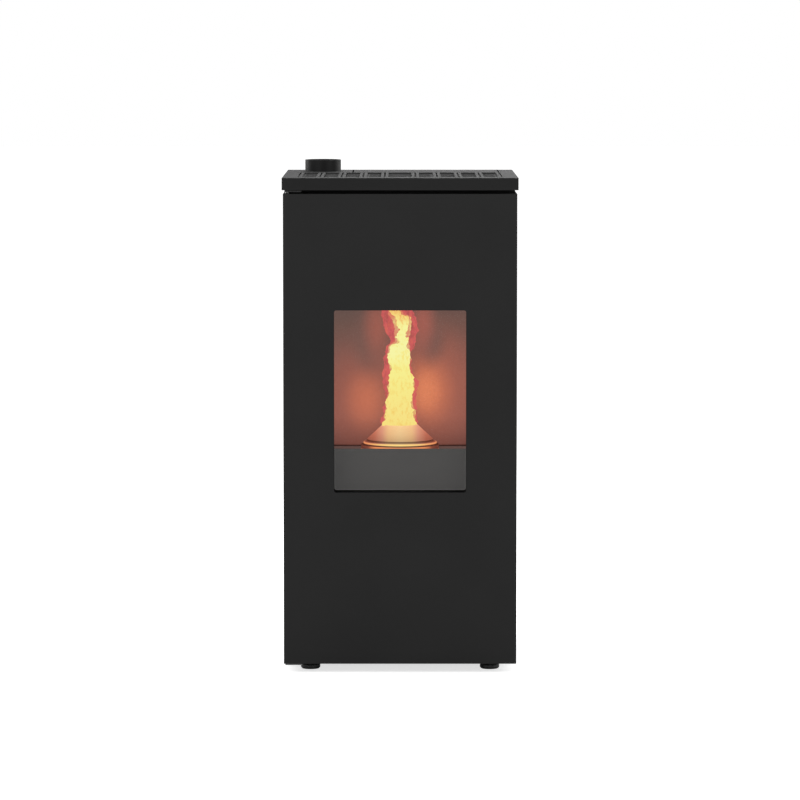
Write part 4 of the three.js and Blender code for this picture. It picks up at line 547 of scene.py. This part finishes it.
def bell_iron_painted_firelight():
    """The bell's cast iron under the flame, with the fire's light painted on it: pale orange where
    it faces the fire, red at its flanks, with painted highlights on its rims and little painted
    light in its grooves."""
    material, tree, where = new_material("bell_iron_painted_firelight")
    pits = grain(tree, where, 2.0, detail=4, roughness=0.6)
    look = {
        "Base Color": add(tree, "ValToRGB", {"Fac": pits}, [(0.3, "#3a221a"), (0.7, "#573629")]),
        "Roughness": add(tree, "ValToRGB", {"Fac": pits}, [(0.3, 0.5), (0.7, 0.7)]),
        "Normal": add(tree, "Bump", {"Height": pits, "Distance": 0.25 * MM}),
        "Metallic": 0.3,
    }

    parts = add(tree, "SeparateXYZ", {0: where}).outputs
    aside = add(tree, "Math", {"operation": "ABSOLUTE", 0: parts["X"]})
    across = add(tree, "MapRange", {"From Max": BELL_RADIUS * MM, "Value": aside})
    foot_z, top_z = HEARTH * MM, (HEARTH + BELL_HEIGHT) * MM
    rise = add(tree, "MapRange", {"From Min": foot_z, "From Max": top_z, "Value": parts["Z"]})
    warm = add(
        tree,
        "ValToRGB",
        {"Fac": across},
        [
            (0.0, "#fbd49a"),
            (0.3, "#f8c78f"),
            (0.46, "#e6a083"),
            (0.66, "#cf7860"),
            (0.86, "#b76552"),
            (1.0, "#965143"),
        ],
    )
    # how much painted light falls on the skirt's foot, the skirt, a groove, the ring, a groove,
    # the cone
    share = add(
        tree,
        "ValToRGB",
        {"Fac": rise},
        [
            (0.0, 1.0),
            (0.05, 0.95),
            (0.1, 0.3),
            (0.21, 0.45),
            (0.235, 0.08),
            (0.265, 0.08),
            (0.285, 1.0),
            (0.33, 1.0),
            (0.36, 0.3),
            (0.42, 0.1),
            (0.44, 0.62),
            (0.7, 0.85),
            (1.0, 1.0),
        ],
    )
    rim_light = add(
        tree,
        "ValToRGB",
        {"Fac": across},
        [(0.0, "#fbdc80"), (0.5, "#fad07c"), (0.8, "#f2a067"), (1.0, "#e08a5c")],
    )
    rim = add(
        tree,
        "ValToRGB",
        {"Fac": rise},
        [(0.27, 0.0), (0.29, 1.0), (0.325, 1.0), (0.345, 0.0)],
    )
    foot = add(tree, "ValToRGB", {"Fac": rise}, [(0.05, 1.0), (0.1, 0.0)])
    skirt = add(tree, "ValToRGB", {"Fac": rise}, [(0.22, 1.0), (0.235, 0.0)])
    front = add(
        tree,
        "MapRange",
        {
            "interpolation_type": "SMOOTHSTEP",
            "From Min": at(0, POT_Y + BELL_FRONT[0], 0).y,
            "From Max": at(0, POT_Y + BELL_FRONT[1], 0).y,
            "Value": parts["Y"],
        },
    )
    facing = add(tree, "Math", {"operation": "MULTIPLY", 0: front, 1: skirt})
    lit = add(tree, "VectorMath", {"operation": "MULTIPLY", 0: warm, 1: share})
    # Painted highlights on the ring's rim, the skirt's foot and the skirt's front.
    for amount, hot in ((rim, rim_light), (foot, "#e5824f"), (facing, "#ec9058")):
        lit = add(tree, "Mix", {"data_type": "RGBA", 0: amount, 6: lit, 7: hot}).outputs[2]
    uneven = {"From Min": 0.3, "From Max": 0.7, "To Min": 1.0, "To Max": 1.12, "Value": pits}
    show_lit(tree, look, {"Color": lit, "Strength": add(tree, "MapRange", uneven)})
    return material


FINISH = {
    "black_powder_coat": black_powder_coat("black_powder_coat", "#131313", "#161616", 0.5, 0.21),
    "heat_paint": heat_paint(),
    "grey_heat_paint": grey_heat_paint(),
    "galvanised_steel": galvanised_steel(),
    "bright_steel": bright_steel(),
    "cast_iron": cast_iron(),
    "vermiculite": vermiculite(),
    "glass_fibre_rope": glass_rope(),
    "silicone": silicone(),
    "black_plastic": black_plastic(),
    "cast_aluminium": cast_aluminium(),
    "ceramic_glass": ceramic_glass(),
}
GUARD_PAINT = guard_grey()
# The warm air has dulled the powder on the plate and the lid.
TOP_COAT = black_powder_coat("dulled_powder_coat", "#1a1a1a", "#1d1d1d", 0.66, 0.14)
NODE_FINISH = {
    # The upper hinge sits in the shadow gap above the door: its darker grey is painted shade.
    "upper_hinge": dull_zinc("zinc_plate_painted_shade", "#3a3a3a", "#4a4a4a"),
    "lower_hinge": dull_zinc("dulled_zinc_plate", "#646464", "#767676"),
    "outlet_guard": GUARD_PAINT,
    "top_plate": TOP_COAT,
    "hopper_lid": TOP_COAT,
}


def finish_of(node):
    return NODE_FINISH.get(node, FINISH[SLOT_OF[node]])


def finish_cad_nodes():
    for name, node in NODES.items():
        node.data.materials.clear()
        node.data.materials.append(finish_of(name))


# ---------------------------------------------------------------- pieces


def settle(piece, body, slot, *stands_for):
    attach(piece, body)
    if stands_for:
        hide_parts(*stands_for)
    return piece


def link(mesh, material):
    """A smooth-shaded piece of the same name as its mesh."""
    piece = bpy.data.objects.new(mesh.name, mesh)
    bpy.context.scene.collection.objects.link(piece)
    mesh.materials.append(material)
    mesh.polygons.foreach_set("use_smooth", [True] * len(mesh.polygons))
    return piece


def finished_mesh(name, form):
    mesh = bpy.data.meshes.new(name)
    form.to_mesh(mesh)
    form.free()
    return mesh


def join_rings(form, rings, closed):
    """Lays faces from each ring to the next, and then closes the last ring to the first one, or
    both ends with a flat face."""
    for first, second in zip(rings, rings[1:] + rings[:1] if closed else rings[1:]):
        for step in range(len(first)):
            after = (step + 1) % len(first)
            form.faces.new((first[step], first[after], second[after], second[step]))
    if not closed:
        form.faces.new(list(reversed(rings[0])))
        form.faces.new(rings[-1])


def round_edges(piece, radius_mm, segments=2, angle=35):
    edge = piece.modifiers.new("rounded edges", "BEVEL")
    edge.width = radius_mm * MM
    edge.segments = segments
    edge.limit_method = "ANGLE"
    edge.angle_limit = math.radians(angle)
    flat = piece.modifiers.new("flat faces", "WEIGHTED_NORMAL")
    flat.keep_sharp = True
    flat.weight = 100


def softened(node, radius_mm):
    """A node's own form with its sheet edges rounded, standing for the node."""
    form = bmesh.new()
    form.from_mesh(NODES[node].data)
    bmesh.ops.remove_doubles(form, verts=form.verts, dist=0.01 * MM)
    bmesh.ops.dissolve_limit(
        form, angle_limit=math.radians(0.5), verts=form.verts, edges=form.edges
    )
    piece = link(finished_mesh(node + "_rounded", form), finish_of(node))
    round_edges(piece, radius_mm)
    return settle(piece, BODY_OF[node], SLOT_OF[node], node)


def paint_reveal_shade(piece):
    """Gives the inside of the window's reveal its own near-black finish, with its shade painted
    in.
    """
    piece.data.materials.append(reveal_painted_shade())
    slack = 0.1
    for face in piece.data.polygons:
        x, y, z = face.center / MM
        inside = abs(x) < WINDOW_HALF + slack and WINDOW_Z[0] - slack < z < WINDOW_Z[1] + slack
        if inside and abs(face.normal.y) < 0.5 and y < REVEAL - DOOR_FACE:
            face.material_index = 1


def grey_vents(piece):
    """Gives the upright edges of the plate's air openings the guard's paint."""
    piece.data.materials.append(GUARD_PAINT)
    for face in piece.data.polygons:
        x, y, _ = face.center / MM
        inside = abs(x) < VENTS_HALF and VENTS_Y[0] < y + DOOR_FACE < VENTS_Y[1]
        if inside and abs(face.normal.z) < 0.5:
            face.material_index = 1


def turned_mesh(name, outline, centre, steps=96):
    """A closed outline of [radius, height] in mm, turned about an upright axis."""
    form = bmesh.new()
    rings = []
    for radius, height in outline:
        ring = []
        for step in range(steps):
            angle = 2 * math.pi * step / steps
            x = centre[0] + radius * math.cos(angle)
            y = centre[1] + radius * math.sin(angle)
            ring.append(form.verts.new(at(x, y, height)))
        rings.append(ring)
    join_rings(form, rings, True)
    bmesh.ops.recalc_face_normals(form, faces=form.faces)
    return finished_mesh(name, form)


def make_flue_collar():
    outline = [
        (COLLAR_BORE, SPIGOT_FOOT),
        (COLLAR_SPIGOT, SPIGOT_FOOT),
        (COLLAR_SPIGOT, COLLAR_SEAT),
        (FLUE_RADIUS, COLLAR_SEAT),
        (FLUE_RADIUS, COLLAR_TOP),
        (COLLAR_BORE, COLLAR_TOP),
    ]
    piece = link(turned_mesh("flue_collar_turned", outline, FLUE), flue_enamel())
    round_edges(piece, 0.9, 3, 60)
    settle(piece, BODY_OF["flue_collar"], "black_powder_coat", "flue_collar")


def make_flame_bell():
    """The bell as it is cast: a skirt, a ring between two grooves, and a cone with a rounded
    mouth, then its inside back down to the skirt's foot."""
    outline = [
        (80.4, HEARTH),
        (BELL_RADIUS, HEARTH),
        (BELL_RADIUS, HEARTH + 13),
        (79.5, HEARTH + 14.5),
        (79.5, HEARTH + 18.5),
        (74, HEARTH + 20),
        (72, HEARTH + 21),
        (72, HEARTH + 24),
        (38, HEARTH + 55.5),
        (36, HEARTH + BELL_HEIGHT),
        (34, HEARTH + 55.5),
        (34, HEARTH + 52),
        (66, HEARTH + 22),
        (66, HEARTH + 18),
        (80.4, HEARTH + 11),
    ]
    piece = link(turned_mesh("flame_bell_cast", outline, (0, POT_Y)), bell_iron_painted_firelight())
    round_edges(piece, 0.7, 2, 25)
    settle(piece, BODY_OF["flame_bell"], "cast_iron", "flame_bell")


def make_feet():
    """Each foot: a dished pad with a rounded rim, a stem, and a locknut under the base pan."""
    outline = [
        (0.05, 0),
        (18, 0),
        (21, 3),
        (21, 8),
        (19.5, 10),
        (17.5, 10),
        (16.5, 6),
        (5, 6),
        (5, 16.7),
        (18, 16.7),
        (18, 19.7),
        (5, 19.7),
        (5, 43.5),
        (0.05, 43.5),
    ]
    nylon = foot_nylon()
    for name, centre in FEET.items():
        piece = link(turned_mesh(name + "_turned", outline, centre, 64), nylon)
        round_edges(piece, 0.5, 2, 40)
        settle(piece, BODY_OF[name], "black_plastic", name)


# ---------------------------------------------------------------- the flame


# Height in mm, then the left and the right edge of the bright column at that height.
COLUMN = [
    (516, -35, 34),
    (524, -41, 36),
    (540, -34, 31),
    (556, -31, 28),
    (578, -29, 26),
    (599, -26, 30),
    (615, -26, 33),
    (643, -23, 21),
    (676, -27, 20),
    (692, -25, 19),
    (706, -10, 18),
    (730, -9, 20),
    (748, -13, 24),
    (758, -18, 24),
    (766, -23, 7),
    (780.4, -27, -6),
]
# The red edge round it.
FRINGE = [
    (520, -38, 34),
    (530, -42, 38),
    (556, -33, 34),
    (578, -32, 35),
    (602, -35, 35),
    (615, -37, 35),
    (643, -36, 25),
    (676, -34, 24),
    (690, -31, 28),
    (708, -21, 33),
    (730, -33, 36),
    (748, -37, 35),
    (764, -39, 30),
    (780.4, -40, 24),
]
FLAME_RINGS = 150
FLAME_SIDES = 40
FOOT_SHARE = 0.6  # the width of the flame's foot beside the table's
FOOT_RISE = 12  # mm of height in which it would grow by the table's whole width
TONGUE_TURN = 1.4  # how fast the ragged edge changes round the flame
TONGUE_RISE = 17  # mm of height between one tongue and the next
WISP_FINENESS = 3.1  # how much finer the wisps are than the tongues
WISP_SHARE = 0.6  # and how far they reach beside them


def along(table, z):
    """A table's left and right edge at a height, eased between the heights given."""
    for (z0, a0, b0), (z1, a1, b1) in zip(table, table[1:]):
        if z <= z1:
            t = max(0.0, (z - z0) / (z1 - z0))
            t = t * t * (3 - 2 * t)
            return a0 + (a1 - a0) * t, b0 + (b1 - b0) * t
    return table[-1][1:]


def flame_mesh(name, table, ragged, seed, depth, behind):
    """A closed, ragged column between a table's edges. One side is a share of the other: the
    thin side faces the back, or the wide side does where the column lies behind the flame."""
    form = bmesh.new()
    low, high = table[0][0], table[-1][0]
    rings = []
    for step in range(FLAME_RINGS + 1):
        z = low + (high - low) * step / FLAME_RINGS
        left, right = along(table, z)
        half = (right - left) / 2 * min(1.0, FOOT_SHARE + (z - low) / FOOT_RISE)
        middle = (left + right) / 2
        ring = []
        for side in range(FLAME_SIDES):
            angle = 2 * math.pi * side / FLAME_SIDES
            east, north = math.cos(angle), math.sin(angle)
            spot = Vector((east * TONGUE_TURN, north * TONGUE_TURN, z / TONGUE_RISE - seed))
            wisps = noise.noise(spot * WISP_FINENESS) * WISP_SHARE
            radius = max(1.0, half + (noise.noise(spot) + wisps) * ragged)
            reach, thick = radius * east, radius * depth * north
            x, y = (middle + thick, max(0.0, reach)) if behind else (middle + reach, thick)
            ring.append(form.verts.new(at(x, POT_Y + y, z)))
        rings.append(ring)
    join_rings(form, rings, False)
    return finished_mesh(name, form)


def flame_core_finish():
    """Burning gas at its hottest: pale yellow, streaked upwards, and orange at its tip."""
    material, tree, where = new_material("flame_hot_core")
    streaks = grain(tree, where, 6, detail=5, stretch=(1, 1, 0.45), roughness=0.65)
    height = add(tree, "SeparateXYZ", {0: where}).outputs["Z"]
    rise = add(tree, "MapRange", {"From Min": 516 * MM, "From Max": 781 * MM, "Value": height})
    bright = add(
        tree,
        "ValToRGB",
        {"Fac": rise},
        [
            (0.0, "#fce584"),
            (0.12, "#fce98c"),
            (0.32, "#fcf08f"),
            (0.5, "#fcf696"),
            (0.62, "#fcfbac"),
            (0.84, "#fcfaa4"),
            (0.92, "#fbe387"),
            (1.0, "#f7b96b"),
        ],
    )
    deep = add(
        tree,
        "ValToRGB",
        {"Fac": rise},
        [
            (0.0, "#f8d273"),
            (0.4, "#fae27c"),
            (0.7, "#fbf08e"),
            (0.83, "#fbe27f"),
            (0.92, "#f4ab64"),
            (1.0, "#ee8f58"),
        ],
    )
    hot = add(tree, "ValToRGB", {"Fac": streaks}, [(0.36, 1.0), (0.5, 0.0)])
    colour = add(tree, "Mix", {"data_type": "RGBA", 0: hot, 6: bright, 7: deep}).outputs[2]
    light = add(tree, "Emission", {"Color": colour, "Strength": 1.07})
    add(tree, "OutputMaterial", {"Surface": light})
    return material


def flame_fringe_finish():
    """The red edge of the flame: thin, so that it hides little, with streaks that rise."""
    material, tree, where = new_material("flame_red_fringe")
    streaks = grain(tree, where, 9, detail=4, stretch=(1, 1, 0.4), roughness=0.6)
    reds = [(0.3, "#c2594f"), (0.5, "#db6367"), (0.72, "#e8775f")]
    colour = add(tree, "ValToRGB", {"Fac": streaks}, reds)
    light = add(tree, "Emission", {"Color": colour, "Strength": 1.0})
    thin = {"From Min": 0.34, "From Max": 0.56, "To Min": 0.25, "To Max": 0.8, "Value": streaks}
    cover = add(tree, "MapRange", thin)
    veil = add(tree, "MixShader", {0: cover, 1: add(tree, "BsdfTransparent"), 2: light})
    add(tree, "OutputMaterial", {"Surface": veil})
    return material


def make_flame():
    core, fringe = flame_core_finish(), flame_fringe_finish()
    layers = [
        ("flame_core", COLUMN, 5.5, 0.0, 0.8, False, core),
        ("flame_fringe_across", FRINGE, 6, 3.7, 0.3, False, fringe),
        ("flame_fringe_deep", FRINGE, 6, 7.4, 0.3, True, fringe),
    ]
    for name, table, ragged, seed, depth, behind, material in layers:
        piece = link(flame_mesh(name, table, ragged, seed, depth, behind), material)
        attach(piece, BODY_OF["burn_pot"])


# ---------------------------------------------------------------- small fixings


def screw_mesh(name, places, turn):
    """Domed screw heads at places given in mm, each facing along an axis."""
    form = bmesh.new()
    profile = [(0.05, 0), (3.6, 0), (3.6, 0.7), (2.7, 1.7), (1.2, 2.1), (0.05, 2.1)]
    steps = 24
    for place in places:
        rings = []
        for radius, height in profile:
            ring = []
            for step in range(steps):
                angle = 2 * math.pi * step / steps
                spot = Vector((radius * math.cos(angle), radius * math.sin(angle), height))
                ring.append(form.verts.new(at(*place) + (turn @ spot) * MM))
            rings.append(ring)
        join_rings(form, rings, False)
    return finished_mesh(name, form)


def make_screws():
    """The screws round the rear panel: five up each side and three along the top and the foot."""
    to_back = Matrix.Rotation(math.radians(-90), 3, "X")
    places = [(x, REAR_FACE, z) for x in (-238, 238) for z in (60, 300, 540, 780, 990)]
    places += [(x, REAR_FACE, z) for z in (1018, 32) for x in (-120, 0, 120)]
    mesh = screw_mesh("rear_panel_screws", places, to_back)
    settle(link(mesh, FINISH["bright_steel"]), BODY_OF["rear_panel"], "bright_steel")


def make_hinge_bush():
    """The bright bush round the upper hinge's pin, in the gap above the door."""
    low, high = HINGE_GAP
    outline = [(3.3, low), (4.4, low), (4.4, high), (3.3, high)]
    mesh = turned_mesh("hinge_bush", outline, HINGE_PIN, 32)
    settle(link(mesh, FINISH["bright_steel"]), BODY_OF["upper_hinge"], "bright_steel")


# The rope's middle line in mm: a rectangle with turned corners, seen from the front.
ROPE_HALF = 191
ROPE_Z = (360, 826)
ROPE_Y = 35.8
ROPE_TURN = 25
ROPE_TURN_STEPS = 12
ROPE_STEP = 3
# The rope itself: half its width and half its depth, and the strands that stand out of it.
ROPE_WIDE = 5
ROPE_DEEP = 3.9
ROPE_SIDES = 14
STRANDS = 4
STRAND_SWELL = 0.04
STRAND_TURN = 1.2  # radians from one ring to the next


def rope_path():
    """Points along the rope's middle line in mm, each with the angle that faces outward."""
    across = ROPE_HALF - ROPE_TURN
    low, high = ROPE_Z[0] + ROPE_TURN, ROPE_Z[1] - ROPE_TURN
    corners = [(across, high), (-across, high), (-across, low), (across, low)]
    path = []
    for quarter, (x, z) in enumerate(corners):
        for step in range(ROPE_TURN_STEPS + 1):
            angle = math.radians(90 * (quarter + step / ROPE_TURN_STEPS))
            path.append((x + ROPE_TURN * math.cos(angle), z + ROPE_TURN * math.sin(angle), angle))
        x1, z1 = corners[(quarter + 1) % 4]
        end = (x1 + ROPE_TURN * math.cos(angle), z1 + ROPE_TURN * math.sin(angle))
        start = path[-1]
        count = round(math.dist(start[:2], end) / ROPE_STEP)
        for step in range(1, count):
            share = step / count
            path.append((*(a + (b - a) * share for a, b in zip(start, end)), angle))
    return path


def make_door_rope():
    """The rope of the door's seal: round, pressed a little flat, with its braid standing out."""
    form = bmesh.new()
    rings = []
    for index, (x, z, outward) in enumerate(rope_path()):
        ring = []
        for side in range(ROPE_SIDES):
            angle = 2 * math.pi * side / ROPE_SIDES
            strand = math.cos(STRANDS * angle + index * STRAND_TURN)
            swell = 1 - STRAND_SWELL + STRAND_SWELL * strand
            reach = ROPE_WIDE * swell * math.cos(angle)
            back = ROPE_DEEP * swell * math.sin(angle)
            spot = (x + reach * math.cos(outward), ROPE_Y + back, z + reach * math.sin(outward))
            ring.append(form.verts.new(at(*spot)))
        rings.append(ring)
    join_rings(form, rings, True)
    bmesh.ops.recalc_face_normals(form, faces=form.faces)
    piece = link(finished_mesh("door_rope", form), FINISH["glass_fibre_rope"])
    settle(piece, BODY_OF["door_gasket"], "glass_fibre_rope", "door_gasket")


INK_HALF = 0.1
BAR_WIDTH = 0.9
BAR_LENGTH = 4.6
RING_RADII = (1.5, 2.3)
MARK_ASIDE = 5.2  # from the middle of the rocker
BEHIND_MODULE = 560


def bar_mesh(name):
    form = bmesh.new()
    bmesh.ops.create_cube(form, size=MM)
    mesh = finished_mesh(name, form)
    mesh.transform(Matrix.Diagonal((BAR_WIDTH, BAR_LENGTH, 2 * INK_HALF, 1)))
    return mesh


def ring_mesh(name):
    inner, outer = RING_RADII
    outline = [(inner, -INK_HALF), (outer, -INK_HALF), (outer, INK_HALF), (inner, INK_HALF)]
    return turned_mesh(name, outline, (0, DOOR_FACE), 32)


def make_rocker_marks():
    """The plain bar and ring for on and off, printed on the rocker's two halves."""
    rocker = NODES["power_rocker"].data
    faces = BVHTree.FromPolygons(
        [v.co for v in rocker.vertices], [p.vertices for p in rocker.polygons]
    )
    ink = print_ink()
    marks = [(bar_mesh("rocker_mark_on"), MARK_ASIDE), (ring_mesh("rocker_mark_off"), -MARK_ASIDE)]
    for mesh, height in marks:
        start = at(MODULE_X, BEHIND_MODULE, ROCKER_Z + height)
        spot, normal, _, _ = faces.ray_cast(start, Vector((0, -1, 0)))
        turn = normal.to_track_quat("Z", "Y").to_matrix().to_4x4()
        mesh.transform(Matrix.Translation(spot) @ turn)
        piece = link(mesh, ink)
        mesh.polygons.foreach_set("use_smooth", [False] * len(mesh.polygons))
        settle(piece, BODY_OF["power_rocker"], "black_plastic")


# ---------------------------------------------------------------- studio


CAMERA_ASIDE = -0.2
CAMERA_FROM_DOOR = 9022.5
CAMERA_HEIGHT = 1382.4
CAMERA_TILT = 5.02
FOCAL_PIXELS = 4232.6
FRAME_PIXELS = 800
SENSOR_WIDTH = 36
FLOOR_REACH = 40  # in metres
FLOOR_GLOW = 0.68


def make_camera():
    lens = bpy.data.cameras.new("camera")
    lens.sensor_width = SENSOR_WIDTH
    lens.lens = SENSOR_WIDTH * FOCAL_PIXELS / FRAME_PIXELS
    lens.clip_end = 100
    camera = bpy.data.objects.new("camera", lens)
    bpy.context.scene.collection.objects.link(camera)
    camera.location = at(CAMERA_ASIDE, -CAMERA_FROM_DOOR, CAMERA_HEIGHT)
    camera.rotation_euler = (math.radians(90 - CAMERA_TILT), 0, 0)
    bpy.context.scene.camera = camera


def make_floor():
    """A matt pale floor that the camera sees as white, with the stove's shadow on it."""
    mesh = bpy.data.meshes.new("floor")
    near, far = -FLOOR_REACH, FLOOR_REACH
    corners = [(near, near, 0), (far, near, 0), (far, far, 0), (near, far, 0)]
    mesh.from_pydata(corners, [], [(0, 1, 2, 3)])
    material, tree, _ = new_material("pale_floor")
    seen = add(tree, "LightPath").outputs["Is Camera Ray"]
    shader = add(tree, "BsdfPrincipled", {"Base Color": "#e6e6e6", "Roughness": 0.9})
    strength = add(tree, "Math", {"operation": "MULTIPLY", 0: seen, 1: FLOOR_GLOW})
    both = add(tree, "AddShader", {0: shader, 1: add(tree, "Emission", {"Strength": strength})})
    add(tree, "OutputMaterial", {"Surface": both})
    floor = bpy.data.objects.new("floor", mesh)
    mesh.materials.append(material)
    bpy.context.scene.collection.objects.link(floor)


def make_world():
    """A plain room's light, seen as white by the camera and in what metal and glass show."""
    world = bpy.data.worlds.new("studio")
    world.use_nodes = True
    bpy.context.scene.world = world
    tree = world.node_tree
    tree.nodes.clear()
    path = add(tree, "LightPath").outputs
    seen = path["Is Camera Ray"]
    for ray in ("Is Glossy Ray", "Is Transmission Ray"):
        seen = add(tree, "Math", {"operation": "MAXIMUM", 0: seen, 1: path[ray]})
    room = add(tree, "Background", {"Color": "#f4f4f4", "Strength": 0.55})
    white = add(tree, "Background", {"Color": "#ffffff", "Strength": 1.0})
    sky = add(tree, "MixShader", {0: seen, 1: room, 2: white})
    add(tree, "OutputWorld", {"Surface": sky})


def make_lamp(name, place, aim, size, watts):
    light = bpy.data.lights.new(name, "AREA")
    light.size = size
    light.energy = watts
    lamp = bpy.data.objects.new(name, light)
    bpy.context.scene.collection.objects.link(lamp)
    lamp.location = place
    lamp.rotation_euler = (Vector(aim) - Vector(place)).to_track_quat("-Z", "Y").to_euler()


finish_cad_nodes()
rounded = {node: softened(node, radius) for node, radius in EDGE_RADIUS.items()}
# Painted shade inside the window's reveal.
paint_reveal_shade(rounded["door_skin"])
grey_vents(rounded["top_plate"])
make_flue_collar()
make_flame_bell()
make_feet()
make_flame()
make_screws()
make_hinge_bush()
make_door_rope()
make_rocker_marks()

make_camera()
make_floor()
make_world()
make_lamp("key", (-2.2, -3.4, 3.0), (0, 0, 0.6), 2.6, 70)
make_lamp("fill", (2.8, -3.0, 1.6), (0, 0, 0.5), 2.6, 34)
make_lamp("top", (0, 0.6, 3.6), (0, 0, 0.5), 2.4, 34)
make_lamp("back", (1.0, 3.6, 2.4), (0, 0, 0.5), 2.6, 40)
make_lamp("left edge", (-3.3, 1.9, 1.9), (0, 0, 0.8), 1.4, 34)
make_lamp("right edge", (3.3, 1.9, 1.9), (0, 0, 0.8), 1.4, 34)

bpy.context.scene.view_settings.view_transform = "Standard"
